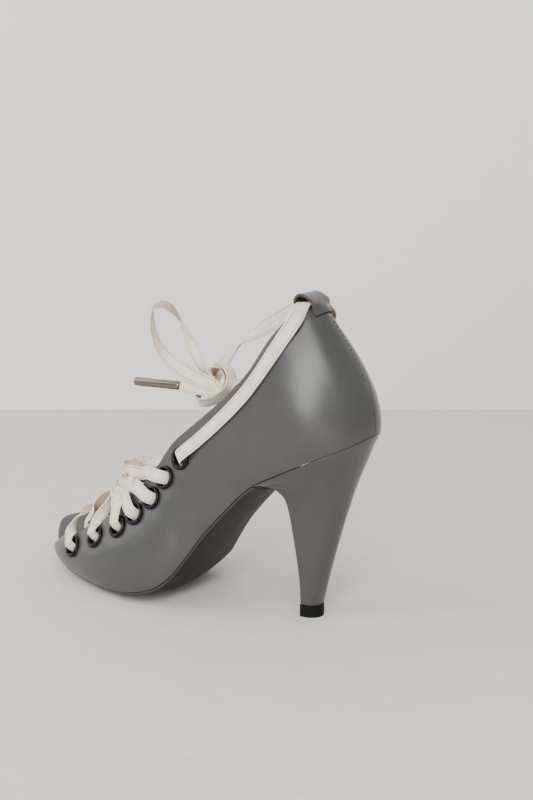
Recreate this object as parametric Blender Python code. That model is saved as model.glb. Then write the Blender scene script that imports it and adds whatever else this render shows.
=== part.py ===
"""Lace-up high heel, left shoe, as an assembly of separate solids.

Metres, +Z up, toe towards -Y, outer side of the foot towards +X.
The origin is the centre of the top lift's bottom face, on the floor.
"""
import math

import bmesh
import bpy
import numpy as np
from mathutils import Matrix, Vector

# Driving dimensions of the last
LAST_LENGTH = 0.1983
BALL_WIDTH = 0.076
SEAT_HEIGHT = 0.098
SEAT_OVERHANG = 0.0337
TOE_SPRING = 0.0036
INSTEP_HEIGHT = 0.062
COUNTER_HEIGHT = 0.0625
TOE_BOX_HEIGHT = 0.0152
FULLNESS = 0.010
DOME_PULL = 0.70

# Thicknesses and clearances
WALL = 0.0018
VAMP_WALL = 0.0014
INSOLE_THICKNESS = 0.0015
SOLE_EDGE = 0.0018
SOLE_CROWN = 0.0031
SOLE_INSET = 0.0008
GAP = 0.0003

# Heel and top lift
LIFT_WIDTH = 0.0130
LIFT_DEPTH = 0.0096
LIFT_THICKNESS = 0.0064
BREAST_HOLLOW = 0.0022

# Eyelets
EYELET_HOLE = 0.0082
EYELET_FLANGE = 0.0124
EYELET_BARREL = 0.0007
EYELET_LIP = 0.0009
EYELET_INSET = 0.0086

# Keeper loop at the top of the back seam
KEEPER_WIDTH = 0.0160
KEEPER_THICKNESS = 0.0013
KEEPER_REACH = 0.0109
KEEPER_RISE = 0.0056
KEEPER_LEG = 0.0040

# Lace, bow and lace tips
LACE_WIDTH = 0.0072
LACE_THICKNESS = 0.0012
CROSSING_WIDTH = 0.0048
CROSSING_RISE = 0.0014
CROSSING_DROP = 0.0012
CROSSING_DEPTH = 0.0052
CROSSING_CLEARANCE = 0.0034
CROSSING_PINCH = 0.8
KNOT_WIDTH = 0.0120
KNOT_LENGTH = 0.0180
KNOT_HEIGHT = 0.0190
AGLET_LENGTH = 0.0265
AGLET_DIAMETER = 0.0047

# Mesh density
COLUMNS_PER_STATION = 3
WALL_ROWS = 6
SOLE_SPANS = 4

# Stations round the outer side, toe to heel. Across is a share of half the ball width,
# along a share of the last's length from the heel, rise a share of the instep height or of
# the counter height, and low and high are shares of the fullness.
# name, foot across, foot along, edge across, edge along, instep rise, counter rise, low, high
OUTER_STATIONS = [
    ("toe tip", -0.158, 1.000, -0.158, 1.019, 0.076, 0.000, 0.10, 0.10),
    ("toe corner", 0.237, 0.980, 0.232, 0.999, 0.082, 0.000, 0.10, 0.10),
    ("toe side", 0.513, 0.919, 0.376, 0.937, 0.247, 0.000, 0.45, 0.45),
    ("little toe", 0.750, 0.816, 0.560, 0.849, 0.388, 0.000, 0.75, 0.45),
    ("joint front", 0.895, 0.736, 0.618, 0.762, 0.531, 0.000, 0.90, 0.50),
    ("joint", 0.974, 0.667, 0.625, 0.689, 0.701, 0.000, 0.90, 0.55),
    ("joint back", 1.000, 0.603, 0.618, 0.635, 0.839, 0.000, 0.80, 0.50),
    ("instep front", 0.961, 0.549, 0.592, 0.587, 0.959, 0.000, 0.70, 0.45),
    ("instep", 0.895, 0.504, 0.566, 0.557, 0.987, 0.000, 0.60, 0.42),
    ("throat corner", 0.816, 0.467, 0.553, 0.528, 0.940, 0.000, 0.50, 0.42),
    ("waist", 0.750, 0.420, 0.571, 0.460, 0.000, 0.897, 0.45, 0.42),
    ("shank", 0.692, 0.349, 0.613, 0.390, 0.000, 0.818, 0.45, 0.45),
    ("breast", 0.666, 0.279, 0.645, 0.327, 0.000, 0.789, 0.45, 0.45),
    ("seat front", 0.663, 0.208, 0.650, 0.281, 0.000, 0.838, 0.50, 0.45),
    ("seat", 0.663, 0.143, 0.621, 0.249, 0.000, 0.898, 0.60, 0.50),
    ("seat back", 0.604, 0.088, 0.539, 0.223, 0.000, 0.944, 0.80, 0.55),
    ("heel side", 0.468, 0.041, 0.395, 0.201, 0.000, 0.970, 1.05, 0.60),
    ("heel corner", 0.255, 0.012, 0.225, 0.170, 0.000, 0.974, 1.25, 0.55),
    ("back", 0.000, 0.000, 0.000, 0.156, 0.000, 0.984, 1.32, 0.51),
]

# The same stations round the inner side, between the toe tip and the back.
INNER_STATIONS = [
    ("toe corner", -0.539, 0.982, -0.540, 1.001, 0.081, 0.000, 0.10, 0.10),
    ("toe side", -0.803, 0.924, -0.711, 0.947, 0.255, 0.000, 0.35, 0.40),
    ("little toe", -0.947, 0.834, -0.740, 0.862, 0.402, 0.000, 0.65, 0.50),
    ("joint front", -1.005, 0.750, -0.690, 0.774, 0.550, 0.000, 0.80, 0.55),
    ("joint", -0.987, 0.677, -0.645, 0.699, 0.719, 0.000, 0.80, 0.60),
    ("joint back", -0.908, 0.607, -0.600, 0.643, 0.860, 0.000, 0.75, 0.60),
    ("instep front", -0.803, 0.549, -0.565, 0.594, 0.979, 0.000, 0.75, 0.60),
    ("instep", -0.697, 0.504, -0.540, 0.562, 1.008, 0.000, 0.70, 0.55),
    ("throat corner", -0.618, 0.467, -0.525, 0.533, 0.965, 0.000, 0.65, 0.50),
    ("waist", -0.574, 0.420, -0.539, 0.468, 0.000, 0.930, 0.60, 0.55),
    ("shank", -0.574, 0.349, -0.600, 0.392, 0.000, 0.866, 0.55, 0.50),
    ("breast", -0.611, 0.279, -0.621, 0.329, 0.000, 0.837, 0.50, 0.45),
    ("seat front", -0.647, 0.208, -0.621, 0.283, 0.000, 0.886, 0.50, 0.45),
    ("seat", -0.653, 0.143, -0.595, 0.248, 0.000, 0.938, 0.60, 0.50),
    ("seat back", -0.592, 0.089, -0.516, 0.221, 0.000, 0.973, 0.80, 0.55),
    ("heel side", -0.455, 0.042, -0.379, 0.199, 0.000, 0.986, 1.05, 0.60),
    ("heel corner", -0.250, 0.013, -0.217, 0.170, 0.000, 0.979, 1.25, 0.55),
]

# Profile of the foot bed: along, share of the seat height, share of the toe spring
PITCH = [
    (0.000, 1.000, 0.00), (0.039, 0.951, 0.00), (0.087, 0.903, 0.00), (0.143, 0.849, 0.00),
    (0.208, 0.781, 0.00), (0.279, 0.701, 0.00), (0.319, 0.631, 0.00), (0.349, 0.564, 0.00),
    (0.420, 0.392, 0.00), (0.467, 0.250, 0.00), (0.504, 0.141, 0.00), (0.549, 0.063, 0.00),
    (0.603, 0.025, 0.00), (0.667, 0.005, 0.00), (0.736, 0.000, 0.00), (0.816, 0.000, 0.06),
    (0.919, 0.000, 0.36), (0.980, 0.000, 0.83), (1.000, 0.000, 1.00),
]

# Crest of the toe dome, at every half station from the toe: across, along, and height as a
# share of the toe box height above the band's edge
TOE_CREST = [
    (-0.158, 1.008, 0.000), (-0.158, 1.026, 0.410), (-0.155, 1.020, 0.700), (-0.150, 0.996, 0.860),
    (-0.145, 0.966, 0.950), (-0.135, 0.927, 0.985), (-0.125, 0.886, 1.000), (-0.115, 0.850, 1.020),
]
VAMP_END_STATION = 3.0

# Eyelets counted from the toe: station, and share of the eyelet inset below the free edge
EYELETS = [
    (2.870, 1.06), (3.920, 1.05), (5.050, 1.50), (5.980, 1.52), (6.900, 1.52), (7.950, 1.36),
    (9.300, 1.30),
]

# Crests of the lace crossings over the throat, toe to heel: along, share of the seat height
CROSSING_CRESTS = [
    (0.883, 0.376), (0.838, 0.432), (0.818, 0.480), (0.796, 0.522), (0.774, 0.566), (0.757, 0.612),
]

# Lace beside the collar: station, share of the eyelet inset below the free edge, and lift off the
# leather as a share of the lace width
SIDE_LACE = [
    (10.20, 1.15, 0.16), (11.29, 1.04, 0.14), (12.37, 0.95, 0.14), (13.28, 0.91, 0.14),
    (14.15, 0.90, 0.14), (15.00, 0.72, 0.18),
]

# Paths of the free lace. Across is a share of half the ball width, along a share of the last's
# length from the heel, height a share of the seat height; the last three columns are the
# direction of the lace's width.
SIDE_LACE_TOP = [
    (0.479, 0.176, 1.571, -0.30, -0.60, 0.75), (0.360, 0.178, 1.608, -0.15, -0.85, 0.50),
    (0.240, 0.182, 1.630, 0.00, -1.00, 0.15), (0.110, 0.185, 1.630, 0.00, -1.00, 0.00),
    (0.008, 0.185, 1.629, 0.00, -1.00, 0.00),
]
STRAND_LATERAL = [
    (0.250, 0.226, 1.652, 0.40, -0.40, 0.80), (0.325, 0.242, 1.590, 0.60, -0.10, 0.70),
    (0.368, 0.258, 1.485, 0.86, 0.20, 0.20), (0.421, 0.283, 1.397, 0.86, 0.48, 0.00),
    (0.415, 0.301, 1.341, 0.86, 0.48, 0.00), (0.380, 0.318, 1.291, 0.86, 0.48, 0.10),
    (0.316, 0.348, 1.245, 0.80, 0.50, 0.20), (0.158, 0.392, 1.191, 0.70, 0.40, 0.50),
    (0.055, 0.436, 1.159, 0.55, 0.30, 0.70),
]
STRAND_MEDIAL = [
    (-0.250, 0.218, 1.650, -0.40, -0.40, 0.80), (-0.312, 0.247, 1.620, -0.50, -0.10, 0.85),
    (-0.315, 0.275, 1.588, -0.55, 0.05, 0.80), (-0.350, 0.308, 1.556, -0.50, 0.15, 0.80),
    (-0.447, 0.356, 1.507, -0.30, 0.30, 0.90), (-0.526, 0.411, 1.421, 0.10, 0.45, 0.85),
    (-0.579, 0.455, 1.363, 0.45, 0.60, 0.55), (-0.560, 0.487, 1.298, 0.70, 0.60, 0.15),
    (-0.421, 0.496, 1.250, 0.60, 0.70, 0.20), (-0.146, 0.486, 1.187, 0.45, 0.80, 0.30),
]
BOW_LOOP = [
    (0.000, 0.518, 1.194, 1.00, 0.10, 0.00), (0.000, 0.587, 1.253, 0.95, 0.20, -0.20),
    (0.000, 0.636, 1.308, 0.90, 0.30, -0.30), (0.000, 0.661, 1.364, 0.90, 0.40, -0.15),
    (0.000, 0.671, 1.429, 0.90, 0.40, 0.00), (0.000, 0.670, 1.499, 0.95, 0.30, 0.00),
    (0.000, 0.664, 1.554, 1.00, 0.10, 0.00), (0.000, 0.641, 1.567, 1.00, 0.00, 0.10),
    (0.000, 0.619, 1.555, 0.95, 0.10, 0.20), (0.000, 0.590, 1.510, 0.90, 0.20, 0.30),
    (0.000, 0.562, 1.455, 0.80, 0.35, 0.40), (0.000, 0.532, 1.385, 0.75, 0.50, 0.40),
    (0.000, 0.513, 1.308, 0.80, 0.60, 0.10), (0.000, 0.499, 1.238, 0.90, 0.30, 0.00),
]
TAIL_LATERAL = [
    (0.080, 0.518, 1.143, 0.10, 0.00, 1.00), (0.130, 0.543, 1.144, 0.10, 0.00, 1.00),
    (0.158, 0.558, 1.143, 0.10, 0.00, 1.00),
]
TAIL_MEDIAL = [
    (-0.160, 0.470, 1.124, 0.00, 1.00, 0.00), (-0.370, 0.461, 1.105, 0.00, 1.00, 0.00),
    (-0.580, 0.460, 1.072, 0.00, 1.00, 0.00), (-0.730, 0.460, 1.000, 0.00, 1.00, 0.00),
    (-0.780, 0.460, 0.900, 0.00, 1.00, 0.00),
]
KNOT_CENTRE = (0.000, 0.478, 1.148)
AGLET_LATERAL = ((0.160, 0.561, 1.143), (0.263, 0.695, 1.149))
AGLET_MEDIAL = ((-0.782, 0.460, 0.892), (-0.825, 0.458, 0.622))

# Keeper's arch seen from the side: shares of its reach inwards from the edge, and of its rise
KEEPER_ARCH = [
    (0.020, 0.280), (0.270, 0.560), (0.550, 0.800), (0.800, 0.790), (0.970, 0.380),
    (0.945, -0.200), (0.720, -0.620),
]

# Heel sections, lift to seat: front along, front height, back along, back height, half width.
# Along is a share of the seat overhang and of the breast's distance, heights of the seat height,
# the half width is a share of the seat's own half width.
HEEL_SECTIONS = [
    (0.204, 0.000, 0.137, 0.000, 0.260),
    (0.218, 0.146, 0.237, 0.151, 0.297),
    (0.278, 0.321, 0.374, 0.343, 0.378),
    (0.417, 0.567, 0.528, 0.534, 0.490),
    (0.560, 0.652, 0.682, 0.710, 0.635),
    (0.787, 0.686, 0.819, 0.836, 0.795),
    (0.912, 0.692, 0.905, 0.923, 0.920),
]


def spline(rows, position):
    """Smooth curve through evenly numbered rows, read at one position."""
    rows = np.asarray(rows, float)
    last = len(rows) - 1
    index = int(min(max(math.floor(position), 0), last - 1))
    share = position - index
    before, here = rows[max(index - 1, 0)], rows[index]
    there, after = rows[index + 1], rows[min(index + 2, last)]
    slope_here = (there - before) / 2
    slope_there = (after - here) / 2
    square, cube = share * share, share ** 3
    return ((2 * cube - 3 * square + 1) * here + (cube - 2 * square + share) * slope_here
            + (3 * square - 2 * cube) * there + (cube - square) * slope_there)


def ring_spline(rows, position):
    """The same curve through rows that close on themselves."""
    count = len(rows)
    index = math.floor(position)
    window = [rows[(index + shift) % count] for shift in (-1, 0, 1, 2)]
    return spline(window, 1 + position - index)


def monotone(xs, ys, x):
    """Smooth interpolation that never overshoots its points."""
    xs, ys = np.asarray(xs, float), np.asarray(ys, float)
    slopes = np.diff(ys) / np.diff(xs)
    index = int(min(max(np.searchsorted(xs, x) - 1, 0), len(xs) - 2))

    def tangent(k):
        if k == 0:
            return slopes[0]
        if k == len(xs) - 1:
            return slopes[-1]
        if slopes[k - 1] * slopes[k] <= 0:
            return 0.0
        return 2 * slopes[k - 1] * slopes[k] / (slopes[k - 1] + slopes[k])

    width = xs[index + 1] - xs[index]
    share = min(max((x - xs[index]) / width, 0.0), 1.0)
    square, cube = share * share, share ** 3
    return ((2 * cube - 3 * square + 1) * ys[index] + (cube - 2 * square + share) * width * tangent(index)
            + (3 * square - 2 * cube) * ys[index + 1] + (cube - square) * width * tangent(index + 1))


def along_y(share):
    return SEAT_OVERHANG - share * LAST_LENGTH


def bed_height(y):
    """Height of the foot bed, where the upper meets the sole, at one place along the shoe."""
    share = (SEAT_OVERHANG - y) / LAST_LENGTH
    base = SOLE_EDGE + SOLE_CROWN
    seat = monotone([row[0] for row in PITCH], [row[1] for row in PITCH], share)
    spring = monotone([row[0] for row in PITCH], [row[2] for row in PITCH], share)
    return base + seat * (SEAT_HEIGHT - base) + spring * TOE_SPRING


def station_rows():
    """Foot point, edge point and fullness of every station, once round the shoe."""
    rows = []
    for row in OUTER_STATIONS + INNER_STATIONS[::-1]:
        _, foot_x, foot_along, edge_x, edge_along, instep, counter, low, high = row
        foot_y, edge_y = along_y(foot_along), along_y(edge_along)
        foot_z = bed_height(foot_y)
        rise = instep * INSTEP_HEIGHT + counter * COUNTER_HEIGHT
        half = BALL_WIDTH / 2
        rows.append((foot_x * half, foot_y, foot_z, edge_x * half, edge_y, foot_z + rise,
                     low * FULLNESS, high * FULLNESS))
    return np.array(rows)


STATIONS = station_rows()
STATION_COUNT = len(STATIONS)
COLUMNS = STATION_COUNT * COLUMNS_PER_STATION
BREAST_STATION = 12
BREAST_COLUMN = BREAST_STATION * COLUMNS_PER_STATION
BACK_COLUMN = 18 * COLUMNS_PER_STATION


def foot_point(position):
    row = ring_spline(STATIONS, position % STATION_COUNT)
    return np.array([row[0], row[1], bed_height(row[1])])


def foot_normal(position):
    """Level outward direction of the sole's outline."""
    ahead, behind = foot_point(position + 0.2), foot_point(position - 0.2)
    step = ahead - behind
    normal = np.array([-step[1], step[0], 0.0])
    return -normal / np.linalg.norm(normal)


def wall_point(position, height):
    """Point of the upper's outer face: once round the shoe, and from the sole to the free edge."""
    row = ring_spline(STATIONS, position % STATION_COUNT)
    foot, edge = foot_point(position), row[3:6]
    outward = foot_normal(position)
    low = foot + (edge - foot) / 3 + outward * row[6]
    high = foot + (edge - foot) * 2 / 3 + outward * row[7]
    rest = 1 - height
    return (rest ** 3 * foot + 3 * rest * rest * height * low
            + 3 * rest * height * height * high + height ** 3 * edge)


def wall_normal(position, height):
    step = 0.02
    low, high = max(height - step, 0.0), min(height + step, 1.0)
    up = wall_point(position, high) - wall_point(position, low)
    round_ = wall_point(position + 0.1, height) - wall_point(position - 0.1, height)
    normal = np.cross(round_, up)
    return normal / np.linalg.norm(normal)


def material(name, colour, roughness, metallic=0.0):
    made = bpy.data.materials.new(name)
    made.use_nodes = True
    shader = made.node_tree.nodes["Principled BSDF"]
    shader.inputs["Base Color"].default_value = (*colour, 1.0)
    shader.inputs["Roughness"].default_value = roughness
    shader.inputs["Metallic"].default_value = metallic
    made.diffuse_color = (*colour, 1.0)
    return made


def add_object(name, points, faces, finish, smooth=True):
    """Named object from points and faces, with its normals turned outwards."""
    mesh = bpy.data.meshes.new(name)
    mesh.from_pydata([tuple(point) for point in points], [], faces)
    build = bmesh.new()
    build.from_mesh(mesh)
    bmesh.ops.remove_doubles(build, verts=build.verts, dist=0.00002)
    bmesh.ops.dissolve_degenerate(build, edges=build.edges, dist=0.00001)
    bmesh.ops.recalc_face_normals(build, faces=build.faces)
    if build.calc_volume(signed=True) < 0:
        bmesh.ops.reverse_faces(build, faces=build.faces)
    build.to_mesh(mesh)
    build.free()
    if smooth:
        mesh.shade_smooth()
        mesh.set_sharp_from_angle(angle=math.radians(40))
    made = bpy.data.objects.new(name, mesh)
    bpy.context.collection.objects.link(made)
    mesh.materials.append(finish)
    return made


def grid_shell(outer, inner, closed_round):
    """Points and faces of a wall between two grids, columns round and rows up."""
    columns, rows = len(outer), len(outer[0])
    points = [point for column in outer for point in column]
    points += [point for column in inner for point in column]
    offset = columns * rows
    faces = []
    spans = columns if closed_round else columns - 1
    for i in range(spans):
        here, there = i * rows, ((i + 1) % columns) * rows
        for j in range(rows - 1):
            faces.append((here + j, there + j, there + j + 1, here + j + 1))
            faces.append((offset + here + j, offset + here + j + 1, offset + there + j + 1, offset + there + j))
        faces.append((here, offset + here, offset + there, there))
        top = rows - 1
        faces.append((here + top, there + top, offset + there + top, offset + here + top))
    if not closed_round:
        for start in (0, (columns - 1) * rows):
            for j in range(rows - 1):
                faces.append((start + j, start + j + 1, offset + start + j + 1, offset + start + j))
    return points, faces


def boolean(target, cutter, operation):
    """Boolean of two objects, applied, and the second one removed."""
    modifier = target.modifiers.new(operation.lower(), "BOOLEAN")
    modifier.operation = operation
    modifier.solver = "EXACT"
    modifier.object = cutter
    evaluated = target.evaluated_get(bpy.context.evaluated_depsgraph_get())
    mesh = bpy.data.meshes.new_from_object(evaluated)
    target.modifiers.remove(modifier)
    old = target.data
    target.data = mesh
    mesh.name = target.name
    bpy.data.meshes.remove(old)
    cutter_mesh = cutter.data
    bpy.data.objects.remove(cutter)
    bpy.data.meshes.remove(cutter_mesh)


def eyelet_places():
    """Centre, outward axis, direction to the free edge and station of every eyelet."""
    places = {}
    for side in ("lateral", "medial"):
        for number, (station, inset) in enumerate(EYELETS, 1):
            position = station if side == "lateral" else STATION_COUNT - station
            height = height_below_edge(position, inset * EYELET_INSET)
            centre, axis = wall_point(position, height), wall_normal(position, height)
            edge = wall_point(position, 1.0) - centre
            edge -= axis * edge.dot(axis)
            places[side, number] = (centre, axis, edge / np.linalg.norm(edge), position)
    return places


def height_below_edge(position, distance):
    """Height share of the point that lies this far below the free edge."""
    steps = 60
    travelled, last = 0.0, wall_point(position, 1.0)
    for index in range(1, steps):
        height = 1 - index / steps
        point = wall_point(position, height)
        travelled += np.linalg.norm(point - last)
        last = point
        if travelled >= distance:
            return height
    return 0.5


def turned_ring(name, centre, axis, profile, finish, sides=10):
    """Ring turned round an axis from a closed profile of radius and height pairs."""
    normal = Vector(axis)
    turn = normal.to_track_quat("Z", "Y").to_matrix()
    points, faces = [], []
    rows = len(profile)
    for i in range(sides):
        angle = 2 * math.pi * i / sides
        for radius, height in profile:
            local = Vector((radius * math.cos(angle), radius * math.sin(angle), height))
            points.append(tuple(np.array(turn @ local) + centre))
    for i in range(sides):
        here, there = i * rows, ((i + 1) % sides) * rows
        for j in range(rows):
            k = (j + 1) % rows
            faces.append((here + j, here + k, there + k, there + j))
    return add_object(name, points, faces, finish)


def make_upper(leather):
    outer, inner = [], []
    for column in range(COLUMNS):
        position = column / COLUMNS_PER_STATION
        outer_column, inner_column = [], []
        for row in range(WALL_ROWS + 1):
            height = row / WALL_ROWS
            point = wall_point(position, height)
            if row == 0:
                inside = point - foot_normal(position) * WALL
                inside[2] = bed_height(inside[1])
            else:
                inside = point - wall_normal(position, height) * WALL
            outer_column.append(point)
            inner_column.append(inside)
        outer.append(outer_column)
        inner.append(inner_column)
    upper = add_object("upper", *grid_shell(outer, inner, True), leather)
    hole = (EYELET_HOLE / 2 + EYELET_BARREL + GAP) / math.cos(math.pi / 12)
    for centre, axis, _, _ in eyelet_places().values():
        cutter = drill("eyelet_drill", centre, axis, hole)
        boolean(upper, cutter, "DIFFERENCE")
    upper.data.shade_smooth()
    upper.data.set_sharp_from_angle(angle=math.radians(40))
    return upper


def drill(name, centre, axis, radius):
    """Round cutter through the wall."""
    reach = 3 * WALL
    turn = Vector(axis).to_track_quat("Z", "Y").to_matrix().to_4x4()
    build = bmesh.new()
    bmesh.ops.create_cone(build, cap_ends=True, segments=12, radius1=radius, radius2=radius, depth=2 * reach,
                          matrix=Matrix.Translation(Vector(centre)) @ turn)
    mesh = bpy.data.meshes.new(name)
    build.to_mesh(mesh)
    build.free()
    cutter = bpy.data.objects.new(name, mesh)
    cutter.hide_render = True
    cutter.display_type = "WIRE"
    bpy.context.collection.objects.link(cutter)
    return cutter


def make_eyelets(metal):
    bore, flange = EYELET_HOLE / 2, EYELET_FLANGE / 2
    barrel = bore + EYELET_BARREL
    base, top = GAP, GAP + EYELET_LIP
    middle = (bore + flange) / 2
    profile = [(bore, -WALL), (barrel, -WALL), (barrel, base), (flange, base), (middle, top),
               (bore, base + EYELET_LIP / 2)]
    for (side, number), (centre, axis, _, _) in eyelet_places().items():
        turned_ring(f"eyelet_{side}_{number}", centre, axis, profile, metal)


def dome_section(position, depth, steps):
    """Section of the toe dome, from the insole inside the outer wall over the crest to the inner wall."""
    mirror = STATION_COUNT - position
    floor = INSOLE_THICKNESS + 2 * GAP
    tip = wall_point(0.0, 1.0) - wall_normal(0.0, 1.0) * depth
    crest_rows = []
    for across, along, height in TOE_CREST:
        crest_rows.append((across * BALL_WIDTH / 2, along_y(along), tip[2] + height * TOE_BOX_HEIGHT))
    crest_rows[0] = tuple(tip)
    here = spline(crest_rows, position * 2)
    ahead = spline(crest_rows, position * 2 + 0.1)
    behind = spline(crest_rows, max(position * 2 - 0.1, 0.0))
    run = ahead - behind
    up = np.array([0.0, -run[2], run[1]])
    up = up / np.linalg.norm(up)
    below = depth - WALL - GAP * 1.5
    crest = here - up * below * min(position * 2, 1.0)
    sides = []
    for place in (position, mirror):
        low, high = 0.0, 1.0
        for _ in range(24):
            middle = (low + high) / 2
            point = wall_point(place, middle)
            if point[2] < bed_height(point[1]) + floor:
                low = middle
            else:
                high = middle
        side = []
        for index in range(steps):
            height = high + (1 - high) * index / steps
            side.append(wall_point(place, height) - wall_normal(place, height) * depth)
        sides.append(side)
    left = wall_point(position, 1.0) - wall_normal(position, 1.0) * depth
    right = wall_point(mirror, 1.0) - wall_normal(mirror, 1.0) * depth
    knee = (crest - (left + right) * (4 - 3 * DOME_PULL) / 8) * 8 / (6 * DOME_PULL)
    first, second = left + DOME_PULL * (knee - left), right + DOME_PULL * (knee - right)
    section = list(sides[0])
    spans = 3 * steps
    for index in range(spans + 1):
        share = index / spans
        rest = 1 - share
        section.append(rest ** 3 * left + 3 * rest * rest * share * first
                       + 3 * rest * share * share * second + share ** 3 * right)
    return section + sides[1][::-1]


def make_vamp(leather):
    """Toe dome: a wall inside the upper's band, carried over the toes."""
    steps, spans = 3, 12
    depth = WALL + GAP * 1.5
    places = [VAMP_END_STATION * index / spans for index in range(spans + 1)]
    layers = []
    for layer_depth in (depth, depth + VAMP_WALL):
        layers.append([dome_section(place, layer_depth, steps) for place in places])
    columns, rows = len(layers[0]), len(layers[0][0])
    points = [point for layer in layers for section in layer for point in section]
    offset = columns * rows
    faces = []
    for i in range(columns - 1):
        here, there = i * rows, (i + 1) * rows
        for j in range(rows - 1):
            faces.append((here + j, there + j, there + j + 1, here + j + 1))
            faces.append((offset + here + j, offset + here + j + 1, offset + there + j + 1, offset + there + j))
        for rim in (0, rows - 1):
            faces.append((here + rim, offset + here + rim, offset + there + rim, there + rim))
    end = (columns - 1) * rows
    for j in range(rows - 1):
        faces.append((end + j, end + j + 1, offset + end + j + 1, offset + end + j))
    return add_object("toe_vamp", points, faces, leather)


def ruled_plan(first, last, inset, spans):
    """Rows of plan points between the outer and inner outline, from one column to another."""
    rows = []
    for column in range(first, last + 1):
        position = column / COLUMNS_PER_STATION
        outer = foot_point(position) - foot_normal(position) * inset
        mirror = STATION_COUNT - position
        inner = foot_point(mirror) - foot_normal(mirror) * inset
        rows.append([outer + (inner - outer) * step / spans for step in range(spans + 1)])
    return rows


def make_outsole(finish):
    rows = ruled_plan(0, BREAST_COLUMN, SOLE_INSET, SOLE_SPANS)
    lower = ruled_plan(0, BREAST_COLUMN, 2 * SOLE_INSET, SOLE_SPANS)
    top, bottom = [], []
    for row, under in zip(rows, lower):
        half = np.linalg.norm(under[0] - under[-1]) / 2
        crown = SOLE_CROWN * min(1.0, half / (BALL_WIDTH / 3))
        top.append([(p[0], p[1], bed_height(p[1]) - 1.4 * GAP) for p in row])
        level = []
        for step, point in enumerate(under):
            share = 2 * step / SOLE_SPANS - 1
            height = bed_height(point[1]) - SOLE_EDGE - 1.3 * crown * (1 - share * share)
            level.append((point[0], point[1], max(height, 0.0)))
        bottom.append(level)
    shift = np.array([0.0, -GAP, 0.0])
    top[-1] = [np.array(point) + shift for point in top[-1]]
    bottom[-1] = [np.array(point) + shift for point in bottom[-1]]
    points, faces = grid_shell(top, bottom, False)
    return add_object("outsole", points, faces, finish)


def make_insole(finish):
    spans = 3
    reach = WALL + GAP * 2
    top, bottom = [], []
    for column in range(0, BACK_COLUMN + 1, 2):
        position = column / COLUMNS_PER_STATION
        ends = []
        for place in (position, STATION_COUNT - position):
            foot = foot_point(place) - foot_normal(place) * reach
            share = INSOLE_THICKNESS / (wall_point(place, 1.0)[2] - foot[2])
            lip = wall_point(place, share / 2) - foot_normal(place) * reach
            ends.append((foot, lip))
        for grid, level, rise in ((top, 1, INSOLE_THICKNESS), (bottom, 0, GAP)):
            start, end = ends[0][level], ends[1][level]
            line = [start + (end - start) * step / spans for step in range(spans + 1)]
            grid.append([(p[0], p[1], bed_height(p[1]) + rise) for p in line])
    points, faces = grid_shell(top, bottom, False)
    return add_object("insole", points, faces, finish)


def seat_loop():
    """Outline of the heel's top: round the back from breast to breast, then along the breast."""
    loop = []
    for column in range(BREAST_COLUMN, COLUMNS - BREAST_COLUMN + 1):
        position = column / COLUMNS_PER_STATION
        point = foot_point(position) - foot_normal(position) * SOLE_INSET / 2
        loop.append(point)
    start, end = loop[-1], loop[0]
    for step in range(1, 6):
        loop.append(start + (end - start) * step / 6)
    return loop


def make_heel(finish):
    top = seat_loop()
    xs = np.array([p[0] for p in top])
    ys = np.array([p[1] for p in top])
    half = (xs.max() - xs.min()) / 2
    front, back = ys.min(), ys.max()
    breast_y = along_y(OUTER_STATIONS[BREAST_STATION][2])
    loops = []
    for front_share, front_high, back_share, back_high, width in HEEL_SECTIONS:
        front_y = front_share * breast_y
        back_y = back_share * SEAT_OVERHANG
        low = LIFT_THICKNESS + GAP
        front_z = low + front_high * (SEAT_HEIGHT - low)
        back_z = low + back_high * (SEAT_HEIGHT - low)
        loop = []
        for x, y in zip(xs, ys):
            depth = (y - front) / (back - front)
            place = front_y + (back_y - front_y) * depth
            across = x / half * width * half
            hollow = BREAST_HOLLOW * (1 - (x / half) ** 2) * (1 - depth) ** 4
            loop.append((across, place + hollow, front_z + (back_z - front_z) * depth))
        loops.append(loop)
    loops.append([(p[0], p[1], bed_height(p[1]) - GAP) for p in top])
    count = len(top)
    points = [point for loop in loops for point in loop]
    faces = []
    for level in range(len(loops) - 1):
        for i in range(count):
            k = (i + 1) % count
            faces.append((level * count + i, level * count + k, (level + 1) * count + k, (level + 1) * count + i))
    faces.append(tuple(range(count)))
    base = (len(loops) - 1) * count
    round_count = count - 5
    for i in range(round_count // 2):
        a, b = base + i, base + i + 1
        c, d = base + round_count - 2 - i, base + round_count - 1 - i
        breast = tuple(range(base + round_count, base + count)) if i == 0 else ()
        if b == c:
            faces.append((a, b, d))
        elif b < c:
            faces.append((a, b, c, d) + breast)
    return add_object("heel", points, faces, finish)


def lift_outline():
    """D-shaped outline of the top lift, flat towards the toe."""
    radius = LIFT_WIDTH / 2
    front = -LIFT_DEPTH / 2
    arc_centre = LIFT_DEPTH / 2 - radius
    outline = [(radius, front)]
    for step in range(13):
        angle = math.pi * step / 12
        outline.append((radius * math.cos(angle), arc_centre + radius * math.sin(angle)))
    outline.append((-radius, front))
    return outline


def make_lift(finish):
    outline = lift_outline()
    count = len(outline)
    points = [(x, y, 0.0) for x, y in outline] + [(x, y, LIFT_THICKNESS) for x, y in outline]
    faces = [tuple(range(count)), tuple(range(count, 2 * count))]
    for i in range(count):
        k = (i + 1) % count
        faces.append((i, k, count + k, count + i))
    return add_object("top_lift", points, faces, finish)


def place(across, along, height):
    return np.array([across * BALL_WIDTH / 2, along_y(along), height * SEAT_HEIGHT])


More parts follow.
